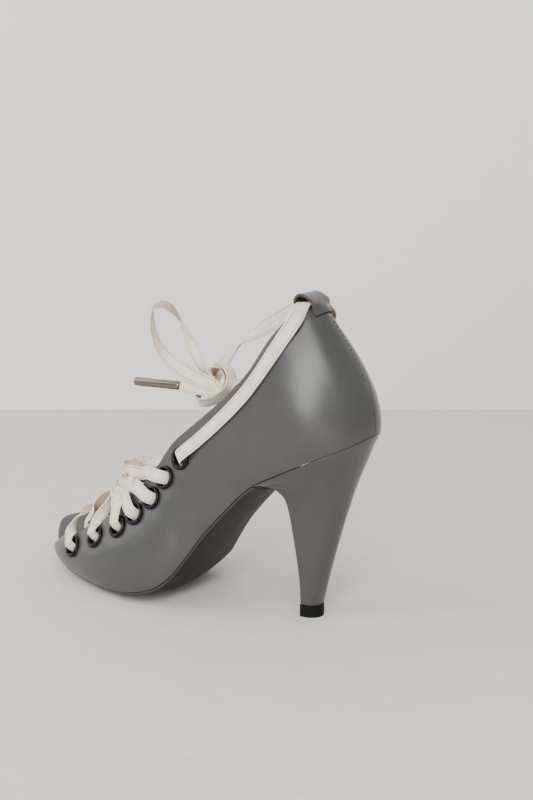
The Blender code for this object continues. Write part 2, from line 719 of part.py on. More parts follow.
def ribbon(name, controls, samples, finish):
    """Flat lace along a smooth path. Each control is a point, a width direction and a width."""
    rows = [np.concatenate([point, np.array(broad) / np.linalg.norm(broad), [width]])
            for point, broad, width in controls]
    last = len(rows) - 1
    sampled = np.array([spline(rows, last * index / (samples - 1)) for index in range(samples)])
    centres = sampled[:, :3]
    points, faces = [], []
    for index in range(samples):
        tangent = centres[min(index + 1, samples - 1)] - centres[max(index - 1, 0)]
        tangent /= np.linalg.norm(tangent)
        broad = sampled[index, 3:6] - tangent * tangent.dot(sampled[index, 3:6])
        broad /= np.linalg.norm(broad)
        thick = np.cross(tangent, broad) * LACE_THICKNESS / 2
        side = broad * sampled[index, 6] / 2
        for across, through in ((-1, -1), (1, -1), (1, 1), (-1, 1)):
            points.append(centres[index] + across * side + through * thick)
    for index in range(samples - 1):
        here, there = 4 * index, 4 * index + 4
        for j in range(4):
            k = (j + 1) % 4
            faces.append((here + j, here + k, there + k, there + j))
    faces.append((0, 1, 2, 3))
    end = 4 * (samples - 1)
    faces.append((end, end + 1, end + 2, end + 3))
    return add_object(name, points, faces, finish)


def eyelet_start(eyelet):
    """Controls of a lace coming out of an eyelet and turning towards the free edge."""
    centre, axis, edge, _ = eyelet
    broad = np.cross(axis, edge)
    bore = EYELET_HOLE / 2
    return [
        (centre - axis * WALL * 0.6, broad, LACE_WIDTH),
        (centre + axis * WALL * 0.7, broad, LACE_WIDTH),
        (centre + axis * (WALL + 1.4 * LACE_THICKNESS) + edge * bore * 0.6, broad, LACE_WIDTH),
    ]


def crossing_arm(name, start, end, crest, finish):
    """One strip: out of an eyelet, over the edge, across the crest and in under the other flap."""
    heelwards = np.array([0.0, 1.0, 0.2])
    rise = np.array([0.0, 0.0, CROSSING_RISE])
    drop = np.array([0.0, 0.0, CROSSING_DROP])

    def facing(direction):
        direction = direction / np.linalg.norm(direction)
        return direction if direction.dot(heelwards) > 0 else -direction

    _, axis, edge, position = start
    broad = facing(np.cross(axis, edge))
    lip = wall_point(position, 1.0)
    controls = [(point, broad, width) for point, _, width in eyelet_start(start)]
    controls.append((lip + axis * CROSSING_CLEARANCE, broad, LACE_WIDTH * CROSSING_PINCH))
    level = facing(np.cross((0.0, 0.0, 1.0), lip - crest))
    controls.append((lip * 0.45 + crest * 0.55 + rise, level, CROSSING_WIDTH * 1.1))
    controls.append((crest, heelwards, CROSSING_WIDTH))
    far_centre, far_axis, far_edge, far_position = end
    far_lip = wall_point(far_position, 1.0)
    far_broad = facing(np.cross(far_axis, far_edge))
    under = far_lip - far_axis * (WALL + CROSSING_DEPTH) + far_edge * LACE_THICKNESS
    far_level = facing(np.cross((0.0, 0.0, 1.0), under - crest))
    controls.append((crest * 0.5 + under * 0.5 - drop, far_level, CROSSING_WIDTH))
    controls.append((under, far_broad, CROSSING_WIDTH * 1.1))
    tuck = far_centre - far_axis * (WALL + 2.4 * LACE_THICKNESS) + far_edge * EYELET_HOLE * 0.55
    controls.append((tuck, far_broad, CROSSING_WIDTH * 1.1))
    return ribbon(name, controls, 15, finish)


def make_crossings(finish):
    eyelets = eyelet_places()
    for number, (along, height) in enumerate(CROSSING_CRESTS, 1):
        crest = place(-0.02, along, height)
        lift = np.array([0.0, 0.0, LACE_THICKNESS * 0.25])
        near = crossing_arm(f"lace_cross_{number}", eyelets["lateral", number],
                            eyelets["medial", number + 1], crest + lift, finish)
        far = crossing_arm("arm", eyelets["medial", number], eyelets["lateral", number + 1],
                           crest - lift, finish)
        boolean(near, far, "UNION")


def make_side_laces(finish):
    eyelets = eyelet_places()
    for side, sign in (("lateral", 1), ("medial", -1)):
        controls = []
        eyelet = eyelets[side, 7]
        centre, axis, edge, _ = eyelet
        forward = np.cross(axis, edge) * -sign
        bore = EYELET_HOLE / 2
        controls.append((centre - axis * WALL * 0.6, edge, LACE_WIDTH))
        controls.append((centre + axis * WALL * 0.7, edge, LACE_WIDTH))
        controls.append((centre + axis * (WALL + LACE_THICKNESS) + forward * bore * 0.8, edge, LACE_WIDTH))
        for station, inset, lift in SIDE_LACE:
            position = station if sign > 0 else STATION_COUNT - station
            height = height_below_edge(position, inset * EYELET_INSET)
            point = wall_point(position, height)
            normal = wall_normal(position, height)
            up = wall_point(position, min(height + 0.05, 1.0)) - point
            controls.append((point + normal * lift * LACE_WIDTH, up, LACE_WIDTH))
        for across, along, height, bx, by, bz in SIDE_LACE_TOP:
            controls.append((place(sign * across, along, height), (sign * bx, by, bz), LACE_WIDTH))
        ribbon(f"lace_side_{side}", controls, 27, finish)


def free_lace(name, table, samples, finish):
    """Free lace from a path table."""
    controls = [(place(row[0], row[1], row[2]), row[3:6], LACE_WIDTH) for row in table]
    return ribbon(name, controls, samples, finish)


def make_knot(finish):
    """Rounded body of the bow's knot."""
    centre = place(*KNOT_CENTRE)
    mesh = bpy.data.meshes.new("lace_knot")
    build = bmesh.new()
    shape = Matrix.Translation(Vector(centre)) @ Matrix.Diagonal((KNOT_WIDTH, KNOT_LENGTH, KNOT_HEIGHT, 1.0))
    bmesh.ops.create_uvsphere(build, u_segments=10, v_segments=7, radius=0.5, matrix=shape)
    build.to_mesh(mesh)
    build.free()
    mesh.shade_smooth()
    made = bpy.data.objects.new("lace_knot", mesh)
    bpy.context.collection.objects.link(made)
    mesh.materials.append(finish)
    return made


def make_aglet(name, ends, finish):
    start, end = place(*ends[0]), place(*ends[1])
    axis = end - start
    axis = axis / np.linalg.norm(axis)
    mesh = bpy.data.meshes.new(name)
    build = bmesh.new()
    turn = Vector(axis).to_track_quat("Z", "Y").to_matrix().to_4x4()
    middle = start + axis * AGLET_LENGTH / 2
    bmesh.ops.create_cone(build, cap_ends=True, segments=12, radius1=AGLET_DIAMETER / 2,
                          radius2=AGLET_DIAMETER / 2, depth=AGLET_LENGTH,
                          matrix=Matrix.Translation(Vector(middle)) @ turn)
    build.to_mesh(mesh)
    build.free()
    made = bpy.data.objects.new(name, mesh)
    bpy.context.collection.objects.link(made)
    mesh.materials.append(finish)
    return made


def counter_point(x, depth, offset):
    """Point beside the counter at this distance from the middle and below the edge."""
    back = BACK_COLUMN / COLUMNS_PER_STATION
    low, high = back - 2.0, back + 2.0
    for _ in range(20):
        position = (low + high) / 2
        height = height_below_edge(position, depth)
        if wall_point(position, height)[0] > x:
            low = position
        else:
            high = position
    normal = wall_normal(position, height)
    level = math.hypot(normal[1], normal[2])
    return wall_point(position, height) + normal * offset / level ** 2


def make_keeper(finish):
    """Loop sewn to the outside of the counter, arched over the laces and back to the lining."""
    back = BACK_COLUMN / COLUMNS_PER_STATION
    crown = wall_point(back, 1.0)
    half = KEEPER_THICKNESS / 2
    upper_side, lower_side = [], []
    for step in range(5):
        x = KEEPER_WIDTH * (step / 4 - 0.5)
        path = [counter_point(x, share * KEEPER_LEG, GAP + half) for share in (1.0, 0.45)]
        for inwards, rise in KEEPER_ARCH:
            path.append(np.array([0.0, crown[1] - inwards * KEEPER_REACH, crown[2] + rise * KEEPER_RISE]))
        for share in (0.9, 1.5):
            path.append(counter_point(x, share * KEEPER_LEG, -(WALL + 2 * GAP + half)))
        path = [np.array([x, point[1], point[2]]) for point in path]
        last = len(path) - 1
        smooth = [spline(path, last * index / 13) for index in range(14)]
        outer, inner = [], []
        for index, point in enumerate(smooth):
            run = smooth[min(index + 1, 13)] - smooth[max(index - 1, 0)]
            normal = np.array([0.0, -run[2], run[1]])
            normal = normal / np.linalg.norm(normal) * half
            outer.append(point - normal)
            inner.append(point + normal)
        upper_side.append(outer)
        lower_side.append(inner)
    points, faces = grid_shell(upper_side, lower_side, False)
    return add_object("keeper", points, faces, finish)


def clear_scene():
    for existing in list(bpy.data.objects):
        bpy.data.objects.remove(existing)


def main():
    clear_scene()
    leather = material("grey_leather", (0.130, 0.128, 0.118), 0.35)
    sole_finish = material("dark_sole", (0.035, 0.035, 0.032), 0.6)
    sock_finish = material("tan_sock", (0.45, 0.34, 0.23), 0.7)
    rubber = material("black_rubber", (0.02, 0.02, 0.02), 0.6)
    metal = material("black_metal", (0.01, 0.01, 0.01), 0.3, 0.6)
    cotton = material("cream_lace", (0.69, 0.64, 0.57), 0.9)
    silver = material("silver_metal", (0.30, 0.26, 0.22), 0.3, 0.9)
    make_upper(leather)
    make_vamp(leather)
    make_outsole(sole_finish)
    make_insole(sock_finish)
    make_heel(leather)
    make_lift(rubber)
    make_eyelets(metal)
    make_keeper(leather)
    make_crossings(cotton)
    make_side_laces(cotton)
    free_lace("lace_strand_lateral", STRAND_LATERAL, 20, cotton)
    free_lace("lace_strand_medial", STRAND_MEDIAL, 22, cotton)
    free_lace("bow_loop", BOW_LOOP, 30, cotton)
    free_lace("lace_tail_lateral", TAIL_LATERAL, 5, cotton)
    free_lace("lace_tail_medial", TAIL_MEDIAL, 10, cotton)
    make_knot(cotton)
    make_aglet("aglet_lateral", AGLET_LATERAL, silver)
    make_aglet("aglet_medial", AGLET_MEDIAL, silver)


if __name__ == "__main__":
    main()
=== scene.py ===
"""Looks of the lace up heel, a left shoe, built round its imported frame.

Metres, +Z up, toe towards -Y, outer side of the foot towards +X. The origin is the centre of the
top lift's bottom face, on the floor.
"""
import math

import bmesh
import bpy
import numpy as np
from mathutils import Matrix, Vector


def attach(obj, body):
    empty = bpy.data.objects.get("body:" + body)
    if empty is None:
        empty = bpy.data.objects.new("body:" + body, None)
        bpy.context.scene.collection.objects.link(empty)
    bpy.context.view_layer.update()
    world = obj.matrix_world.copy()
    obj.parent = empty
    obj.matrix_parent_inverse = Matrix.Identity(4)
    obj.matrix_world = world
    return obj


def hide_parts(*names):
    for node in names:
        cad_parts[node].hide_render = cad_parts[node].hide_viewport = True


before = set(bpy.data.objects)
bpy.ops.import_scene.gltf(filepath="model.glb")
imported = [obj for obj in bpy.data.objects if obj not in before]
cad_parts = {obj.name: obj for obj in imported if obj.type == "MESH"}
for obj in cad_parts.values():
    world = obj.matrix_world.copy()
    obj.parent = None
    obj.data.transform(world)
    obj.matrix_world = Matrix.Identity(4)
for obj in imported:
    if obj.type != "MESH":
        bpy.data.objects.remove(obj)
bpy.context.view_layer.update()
BODY = "root"

# The photograph's camera, metres and radians
CAMERA_PLACE = (0.5583, 0.3135, 0.2390)
CAMERA_HEADING = (-0.8526, -0.5225)
CAMERA_PITCH = math.radians(11.27)
CAMERA_LENS = 59.4
SENSOR_WIDTH = 36.0
IMAGE_SIZE = (533, 800)
WALL_DISTANCE = 1.155
WALL_HEIGHT = 2.0
STAGE_HALF_WIDTH = 2.5
FLOOR_BEFORE_CAMERA = 1.2
FLOOR_BEHIND_WALL = 1.5

# Sizes shared with the frame
LAST_LENGTH = 0.1983
BALL_WIDTH = 0.076
SEAT_HEIGHT = 0.098
SEAT_OVERHANG = 0.0337
TOE_SPRING = 0.0036
INSTEP_HEIGHT = 0.062
COUNTER_HEIGHT = 0.0625
TOE_BOX_HEIGHT = 0.0152
FULLNESS = 0.010
DOME_PULL = 0.70
WALL = 0.0018
VAMP_WALL = 0.0014
INSOLE_THICKNESS = 0.0015
SOLE_EDGE = 0.0018
SOLE_CROWN = 0.0031
SOLE_INSET = 0.0008
GAP = 0.0003
LIFT_THICKNESS = 0.0064
BREAST_HOLLOW = 0.0022
EYELET_HOLE = 0.0082
EYELET_FLANGE = 0.0124
EYELET_BARREL = 0.0007
EYELET_LIP = 0.0012
EYELET_INSET = 0.0086
PULL_DEPTH = 0.00028
PULL_WIDTH = 0.0030
KEEPER_WIDTH = 0.0160
KEEPER_THICKNESS = 0.0013
KEEPER_REACH = 0.0109
KEEPER_RISE = 0.0056
KEEPER_LEG = 0.0040
LACE_WIDTH = 0.0072
LACE_THICKNESS = 0.0012
SEAM_MIDDLES = (0.16, 0.84)
SEAM_HALF_WIDTH = 0.034
SEAM_STITCH = 0.0019
AGLET_LENGTH = 0.0265
AGLET_DIAMETER = 0.0047

# Stations round the outer side, toe to heel. Across is a share of half the ball width,
# along a share of the last's length from the heel, rise a share of the instep height or of
# the counter height, and low and high are shares of the fullness.
# foot across, foot along, edge across, edge along, instep rise, counter rise, low, high
OUTER_STATIONS = [
    (-0.158, 1.000, -0.158, 1.019, 0.076, 0.000, 0.10, 0.10),
    (0.237, 0.980, 0.232, 0.999, 0.082, 0.000, 0.10, 0.10),
    (0.513, 0.919, 0.376, 0.937, 0.247, 0.000, 0.45, 0.45),
    (0.750, 0.816, 0.560, 0.849, 0.388, 0.000, 0.75, 0.45),
    (0.895, 0.736, 0.618, 0.762, 0.531, 0.000, 0.90, 0.50),
    (0.974, 0.667, 0.625, 0.689, 0.701, 0.000, 0.90, 0.55),
    (1.000, 0.603, 0.618, 0.635, 0.839, 0.000, 0.80, 0.50),
    (0.961, 0.549, 0.592, 0.587, 0.959, 0.000, 0.70, 0.45),
    (0.895, 0.504, 0.566, 0.557, 0.987, 0.000, 0.60, 0.42),
    (0.816, 0.467, 0.553, 0.528, 0.940, 0.000, 0.50, 0.42),
    (0.750, 0.420, 0.571, 0.460, 0.000, 0.897, 0.45, 0.42),
    (0.692, 0.349, 0.613, 0.390, 0.000, 0.818, 0.45, 0.45),
    (0.666, 0.279, 0.645, 0.327, 0.000, 0.789, 0.45, 0.45),
    (0.663, 0.208, 0.650, 0.281, 0.000, 0.838, 0.50, 0.45),
    (0.663, 0.143, 0.621, 0.249, 0.000, 0.898, 0.60, 0.50),
    (0.604, 0.088, 0.539, 0.223, 0.000, 0.944, 0.80, 0.55),
    (0.468, 0.041, 0.395, 0.201, 0.000, 0.970, 1.05, 0.60),
    (0.255, 0.012, 0.225, 0.170, 0.000, 0.974, 1.25, 0.55),
    (0.000, 0.000, 0.000, 0.156, 0.000, 0.984, 1.32, 0.51),
]
# The same stations round the inner side, between the toe tip and the back
INNER_STATIONS = [
    (-0.539, 0.982, -0.540, 1.001, 0.081, 0.000, 0.10, 0.10),
    (-0.803, 0.924, -0.711, 0.947, 0.255, 0.000, 0.35, 0.40),
    (-0.947, 0.834, -0.740, 0.862, 0.402, 0.000, 0.65, 0.50),
    (-1.005, 0.750, -0.690, 0.774, 0.550, 0.000, 0.80, 0.55),
    (-0.987, 0.677, -0.645, 0.699, 0.719, 0.000, 0.80, 0.60),
    (-0.908, 0.607, -0.600, 0.643, 0.860, 0.000, 0.75, 0.60),
    (-0.803, 0.549, -0.565, 0.594, 0.979, 0.000, 0.75, 0.60),
    (-0.697, 0.504, -0.540, 0.562, 1.008, 0.000, 0.70, 0.55),
    (-0.618, 0.467, -0.525, 0.533, 0.965, 0.000, 0.65, 0.50),
    (-0.574, 0.420, -0.539, 0.468, 0.000, 0.930, 0.60, 0.55),
    (-0.574, 0.349, -0.600, 0.392, 0.000, 0.866, 0.55, 0.50),
    (-0.611, 0.279, -0.621, 0.329, 0.000, 0.837, 0.50, 0.45),
    (-0.647, 0.208, -0.621, 0.283, 0.000, 0.886, 0.50, 0.45),
    (-0.653, 0.143, -0.595, 0.248, 0.000, 0.938, 0.60, 0.50),
    (-0.592, 0.089, -0.516, 0.221, 0.000, 0.973, 0.80, 0.55),
    (-0.455, 0.042, -0.379, 0.199, 0.000, 0.986, 1.05, 0.60),
    (-0.250, 0.013, -0.217, 0.170, 0.000, 0.979, 1.25, 0.55),
]
# Profile of the foot bed: along, share of the seat height, share of the toe spring
PITCH = [
    (0.000, 1.000, 0.00), (0.039, 0.951, 0.00), (0.087, 0.903, 0.00), (0.143, 0.849, 0.00),
    (0.208, 0.781, 0.00), (0.279, 0.701, 0.00), (0.319, 0.631, 0.00), (0.349, 0.564, 0.00),
    (0.420, 0.392, 0.00), (0.467, 0.250, 0.00), (0.504, 0.141, 0.00), (0.549, 0.063, 0.00),
    (0.603, 0.025, 0.00), (0.667, 0.005, 0.00), (0.736, 0.000, 0.00), (0.816, 0.000, 0.06),
    (0.919, 0.000, 0.36), (0.980, 0.000, 0.83), (1.000, 0.000, 1.00),
]
# Crest of the toe dome, at every half station from the toe: across, along, height share
TOE_CREST = [
    (-0.158, 1.008, 0.000), (-0.158, 1.026, 0.410), (-0.155, 1.020, 0.700), (-0.150, 0.996, 0.860),
    (-0.145, 0.966, 0.950), (-0.135, 0.927, 0.985), (-0.125, 0.886, 1.000), (-0.115, 0.850, 1.020),
]
VAMP_END_STATION = 3.0
# Eyelets counted from the toe: station, and share of the eyelet inset below the free edge
EYELETS = [
    (2.870, 1.06), (3.920, 1.05), (5.050, 1.50), (5.980, 1.52), (6.900, 1.52), (7.950, 1.36),
    (9.300, 1.30),
]
# Lace beside the collar: station, share of the eyelet inset below the free edge, and lift off the
# leather as a share of the lace width
SIDE_LACE = [
    (10.20, 1.15, 0.16), (11.29, 1.04, 0.14), (12.37, 0.95, 0.14), (13.28, 0.91, 0.14),
    (14.15, 0.90, 0.14), (15.00, 0.72, 0.18),
]
# Paths of the laces that the photograph hides: across as a share of half the ball width, along as
# a share of the last's length from the heel, and height as a share of the seat height. The last
# three columns of the first are the direction of the lace's width.
SIDE_LACE_TOP = [
    (0.479, 0.176, 1.571, -0.30, -0.60, 0.75), (0.360, 0.178, 1.608, -0.15, -0.85, 0.50),
    (0.240, 0.182, 1.630, 0.00, -1.00, 0.15), (0.110, 0.185, 1.630, 0.00, -1.00, 0.00),
    (0.008, 0.185, 1.629, 0.00, -1.00, 0.00),
]
TAIL_MEDIAL = [
    (-0.160, 0.470, 1.124), (-0.370, 0.461, 1.105),
    (-0.580, 0.460, 1.072), (-0.730, 0.460, 1.000),
    (-0.780, 0.460, 0.900),
]
AGLET_LATERAL = ((0.160, 0.561, 1.143), (0.263, 0.695, 1.149))
AGLET_MEDIAL = ((-0.782, 0.460, 0.892), (-0.825, 0.458, 0.622))
# Free edge stations where the laces pass over or under the flaps, toe to heel, and how far back
# in its hole each near strip lies
FLAP_STATIONS = [2.50, 3.75, 4.62, 5.25, 6.00, 6.75, 7.60]
NEAR_LIP_STATIONS = [None, None, 4.88, 5.32, 6.02, 6.75]
FAR_DIVES = [3.25, 3.95, 4.70, 5.35, 6.10, 6.90]
NEAR_BACK_OFF = [0.10, 0.00, 0.05, 0.15, 0.30, 0.45]

# Laces as the photograph shows them: pixel x, pixel y, millimetres across the shoe, degrees that
# the face is turned from the camera, and share of the lace width
NEAR_STRIPS = [
    [(75.0, 522.0, 17.0, 70, 0.80), (83.0, 513.8, 10.0, 108, 0.80), (92.0, 506.0, 1.0, 112, 0.80)],
    [(103.0, 512.5, 18.0, 5, 0.84), (110.0, 505.0, 10.0, 10, 0.90), (117.0, 497.0, 1.5, 20, 0.92)],
    [(117.3, 503.0, 19.5, 0, 1.00), (118.0, 495.0, 10.5, 0, 1.04), (119.0, 488.5, 1.0, 10, 1.04)],
    [(127.0, 496.5, 20.0, 0, 1.00), (123.8, 489.5, 11.0, 0, 1.04), (121.5, 484.0, 1.5, 10, 1.04)],
    [(134.5, 487.5, 20.0, 0, 1.00), (129.5, 482.5, 11.5, 5, 1.04), (126.5, 478.0, 2.5, 15, 1.02)],
    [(142.5, 473.3, 19.5, 0, 1.00), (134.5, 471.6, 10.0, 5, 1.00), (129.5, 470.8, 3.0, 20, 0.96)],
]
FAR_STRIPS = [
    [(128.0, 494.0, -18.0, 150, 0.9), (116.5, 493.5, -9.0, 170, 0.95), (108.0, 497.0, -4.0, 172, 0.95),
     (101.5, 501.5, 1.0, 165, 0.85), (96.3, 506.0, 5.0, 140, 0.80), (93.0, 510.0, 8.0, 100, 0.80),
     (91.0, 514.0, 11.0, 62, 0.80), (88.6, 520.0, 15.0, 55, 0.80), (86.3, 526.5, 19.0, 55, 0.80)],
    [(140.0, 484.0, -15.0, 20, 0.9), (122.0, 491.0, -3.0, 20, 0.9), (112.0, 500.0, 5.0, 40, 0.9),
     (103.0, 513.0, 15.0, 40, 0.9)],
    [(150.0, 476.0, -15.0, 30, 0.9), (130.0, 484.0, -3.0, 40, 0.9), (121.0, 492.0, 6.0, 40, 0.9),
     (118.0, 503.0, 16.0, 40, 0.9)],
    [(160.0, 467.0, -15.0, 30, 0.9), (136.0, 478.0, -3.0, 40, 0.9), (125.5, 487.0, 6.0, 40, 0.9),
     (127.0, 497.0, 16.0, 40, 0.9)],
    [(167.0, 461.5, -15.0, 30, 0.9), (142.0, 472.0, -3.0, 40, 0.9), (131.0, 480.5, 6.0, 40, 0.9),
     (136.0, 488.0, 16.0, 40, 0.9)],
    [(176.0, 460.5, -17.0, 0, 0.9), (160.0, 462.0, -13.5, 0, 0.92), (147.0, 461.0, -10.0, 0, 0.92),
     (136.5, 461.5, -7.0, 10, 0.92), (129.8, 463.6, -4.0, 50, 0.92), (128.4, 465.0, -1.0, 105, 0.92),
     (131.8, 464.0, 1.5, 165, 0.95), (136.0, 466.5, 4.0, 180, 0.95), (141.0, 474.0, 9.0, 150, 0.90)],
]
NEAR_STRAND = [
    (297.0, 307.0, 9.5, 40, 1.00), (285.0, 322.5, 12.0, 70, 1.00), (273.5, 336.5, 14.0, 86, 1.00),
    (262.5, 350.5, 16.0, 88, 1.00), (254.5, 364.0, 15.5, 88, 1.00), (247.0, 374.5, 13.5, 86, 1.00),
    (239.5, 381.5, 9.5, 80, 0.95), (232.0, 386.5, 5.0, 50, 0.85),
]
NEAR_TAIL = [
    (222.0, 389.5, 3.0, 20, 0.84), (211.0, 390.2, 3.2, 8, 0.88), (200.0, 389.0, 3.8, 5, 0.90),
    (190.0, 387.4, 4.9, 5, 0.88), (182.5, 386.2, 5.9, 5, 0.84), (179.0, 385.7, 6.2, 5, 0.62),
]
FAR_STRAND = [
    (307.0, 298.5, -8.5, 40, 1.00), (297.0, 306.5, -10.5, 20, 1.05), (286.0, 314.0, -13.0, 8, 1.12),
    (274.0, 321.5, -16.0, 8, 1.15), (263.0, 328.0, -18.5, 20, 1.15), (254.0, 333.8, -20.5, 48, 1.05),
    (247.5, 338.3, -21.5, 70, 1.00), (241.5, 343.3, -21.8, 88, 0.95), (235.0, 350.0, -21.5, 62, 0.95),
    (229.0, 356.5, -20.0, 42, 0.95), (223.5, 363.5, -17.0, 30, 0.95), (220.5, 371.5, -12.0, 35, 0.85),
    (218.3, 379.5, -6.5, 45, 0.55), (217.0, 388.0, -3.5, 60, 0.50),
]
LOOP_OF_BOW = [
    (219.0, 387.5, 1.5, 30, 0.80), (209.0, 383.5, 2.5, 8, 1.00), (198.0, 378.6, 3.2, 0, 1.12),
    (187.0, 372.8, 3.8, 0, 1.15), (177.0, 366.0, 4.0, 8, 1.10), (168.0, 358.5, 4.0, 24, 1.05),
    (160.0, 349.0, 3.5, 45, 1.00), (154.6, 337.5, 2.5, 60, 1.00), (151.8, 325.0, 1.5, 72, 1.00),
    (151.6, 313.5, 0.5, 83, 1.00), (153.8, 307.0, -0.5, 105, 1.00), (160.5, 304.6, -1.5, 126, 1.00),
    (168.5, 306.6, -2.5, 128, 1.00), (175.0, 313.5, -3.5, 112, 1.00), (180.5, 322.0, -4.0, 92, 1.00),
    (186.8, 333.5, -4.5, 60, 1.02), (192.3, 345.0, -4.5, 26, 1.02), (197.5, 356.0, -4.0, 26, 1.00),
    (202.3, 366.0, -3.0, 50, 0.95), (208.0, 374.5, -2.0, 62, 0.90), (214.5, 382.0, -1.0, 62, 0.80),
    (221.0, 388.5, 0.0, 62, 0.70),
]
KNOT_WRAP = [
    (221.0, 365.5, -1.0, -85, 0.95), (227.0, 368.0, 3.0, -62, 0.98), (230.3, 374.0, 6.0, -52, 1.00),
    (231.0, 381.5, 7.5, -48, 1.00), (228.5, 388.5, 8.2, -48, 1.00), (222.5, 394.8, 8.4, -48, 1.00),
    (215.0, 399.4, 8.0, -50, 1.00), (207.0, 402.0, 7.0, -52, 1.00), (200.5, 402.0, 5.0, -60, 0.98),
    (197.5, 398.5, 1.0, -90, 0.95), (198.5, 391.5, -3.5, -130, 0.95), (204.0, 382.0, -6.5, -140, 0.95),
    (212.0, 372.0, -6.5, -125, 0.95), (219.0, 366.2, -3.0, -95, 0.95), (225.0, 366.8, 1.5, -68, 0.95),
]
KNOT_CORE = [
    (219.0, 388.0, -2.5, 60, 0.80), (214.0, 381.5, -3.0, 70, 0.75), (211.3, 374.5, -3.8, 76, 0.75),
    (211.6, 369.0, -4.5, 84, 0.75), (215.0, 365.6, -5.0, 105, 0.80), (220.0, 365.8, -4.0, 120, 0.80),
    (224.0, 371.5, -1.5, 110, 0.80), (224.5, 380.0, 0.5, 90, 0.85), (221.0, 388.5, 1.0, 90, 0.85),
]

# Back seam and the row of needle holes beside it: station, and height share from low to high
BACK_SEAM = [(17.85, 0.02), (17.85, 0.12), (17.92, 0.26), (18.08, 0.38), (18.20, 0.50), (18.25, 0.90)]
NEEDLE_ROW = [(17.90, 0.42), (18.00, 0.56), (18.05, 0.66), (18.10, 0.80), (18.14, 0.93)]

# Keeper's arch seen from the side: shares of its reach inwards from the edge, and of its rise
KEEPER_ARCH = [
    (0.050, 0.200), (0.260, 0.540), (0.520, 0.770), (0.790, 0.790), (0.970, 0.380),
    (0.945, -0.200), (0.720, -0.620),
]
# Heel sections, lift to seat: front along, front height, back along, back height, half width
HEEL_SECTIONS = [
    (0.204, 0.000, 0.137, 0.000, 0.260), (0.218, 0.146, 0.237, 0.151, 0.297),
    (0.278, 0.321, 0.374, 0.343, 0.378), (0.417, 0.567, 0.528, 0.534, 0.490),
    (0.560, 0.652, 0.682, 0.710, 0.635), (0.787, 0.686, 0.819, 0.836, 0.795),
    (0.912, 0.692, 0.905, 0.923, 0.920),
]

# Mesh density
COLUMNS_PER_STATION = 9
WALL_ROWS = 36
BREAST_STATION = 12
BACK_STATION = 18


# Curves and the last's surface
def unit(vector):
    vector = np.asarray(vector, float)
    return vector / np.linalg.norm(vector)


def across_axis(vector, axis):
    """Direction of a vector within the plane that an axis stands on."""
    return unit(vector - axis * vector.dot(axis))


def hermite(share, low, low_slope, high, high_slope):
    """Cubic from one value to another, with the slope at each."""
    square, cube = share * share, share ** 3
    return ((2 * cube - 3 * square + 1) * low + (cube - 2 * square + share) * low_slope
            + (3 * square - 2 * cube) * high + (cube - square) * high_slope)


def bezier(share, first, second, third, last):
    rest = 1 - share
    return (rest ** 3 * first + 3 * rest * rest * share * second
            + 3 * rest * share * share * third + share ** 3 * last)


def spline(rows, position):
    """Smooth curve through evenly numbered rows, read at one position."""
    rows = np.asarray(rows, float)
    last = len(rows) - 1
    index = int(min(max(math.floor(position), 0), last - 1))
    before, here = rows[max(index - 1, 0)], rows[index]
    there, after = rows[index + 1], rows[min(index + 2, last)]
    return hermite(position - index, here, (there - before) / 2, there, (after - here) / 2)


def ring_spline(rows, position):
    """The same curve through rows that close on themselves."""
    count = len(rows)
    index = math.floor(position)
    window = [rows[(index + shift) % count] for shift in (-1, 0, 1, 2)]
    return spline(window, 1 + position - index)


def monotone(xs, ys, x):
    """Smooth interpolation that never overshoots its points."""
    xs, ys = np.asarray(xs, float), np.asarray(ys, float)
    slopes = np.diff(ys) / np.diff(xs)
    index = int(min(max(np.searchsorted(xs, x) - 1, 0), len(xs) - 2))

    def tangent(k):
        if k == 0:
            return slopes[0]
        if k == len(xs) - 1:
            return slopes[-1]
        if slopes[k - 1] * slopes[k] <= 0:
            return 0.0
        return 2 * slopes[k - 1] * slopes[k] / (slopes[k - 1] + slopes[k])

    width = xs[index + 1] - xs[index]
    share = min(max((x - xs[index]) / width, 0.0), 1.0)
    return hermite(share, ys[index], width * tangent(index), ys[index + 1], width * tangent(index + 1))


def along_y(share):
    return SEAT_OVERHANG - share * LAST_LENGTH


def pitch_profile():
    """The foot bed's height at many places, so that it is read quickly afterwards."""
    shares = np.linspace(-0.05, 1.06, 900)
    base = SOLE_EDGE + SOLE_CROWN
    alongs = [row[0] for row in PITCH]
    seats = [row[1] for row in PITCH]
    springs = [row[2] for row in PITCH]
    heights = []
    for share in shares:
        seat, spring = monotone(alongs, seats, share), monotone(alongs, springs, share)
        heights.append(base + seat * (SEAT_HEIGHT - base) + spring * TOE_SPRING)
    return shares, np.array(heights)


PROFILE = pitch_profile()


def bed_height(y):
    """Height of the foot bed, where the upper meets the sole, at one place along the shoe."""
    return float(np.interp((SEAT_OVERHANG - y) / LAST_LENGTH, PROFILE[0], PROFILE[1]))


def station_rows():
    """Foot point, edge point and fullness of every station, once round the shoe."""
    rows = []
    for row in OUTER_STATIONS + INNER_STATIONS[::-1]:
        foot_x, foot_along, edge_x, edge_along, instep, counter, low, high = row
        foot_y, edge_y = along_y(foot_along), along_y(edge_along)
        foot_z = bed_height(foot_y)
        rise = instep * INSTEP_HEIGHT + counter * COUNTER_HEIGHT
        half = BALL_WIDTH / 2
        rows.append((foot_x * half, foot_y, foot_z, edge_x * half, edge_y, foot_z + rise,
                     low * FULLNESS, high * FULLNESS))
    return np.array(rows)


STATIONS = station_rows()
STATION_COUNT = len(STATIONS)


def foot_point(position):
    row = ring_spline(STATIONS, position % STATION_COUNT)
    return np.array([row[0], row[1], bed_height(row[1])])


def foot_normal(position):
    """Level outward direction of the sole's outline."""
    step = foot_point(position + 0.2) - foot_point(position - 0.2)
    return unit((step[1], -step[0], 0.0))


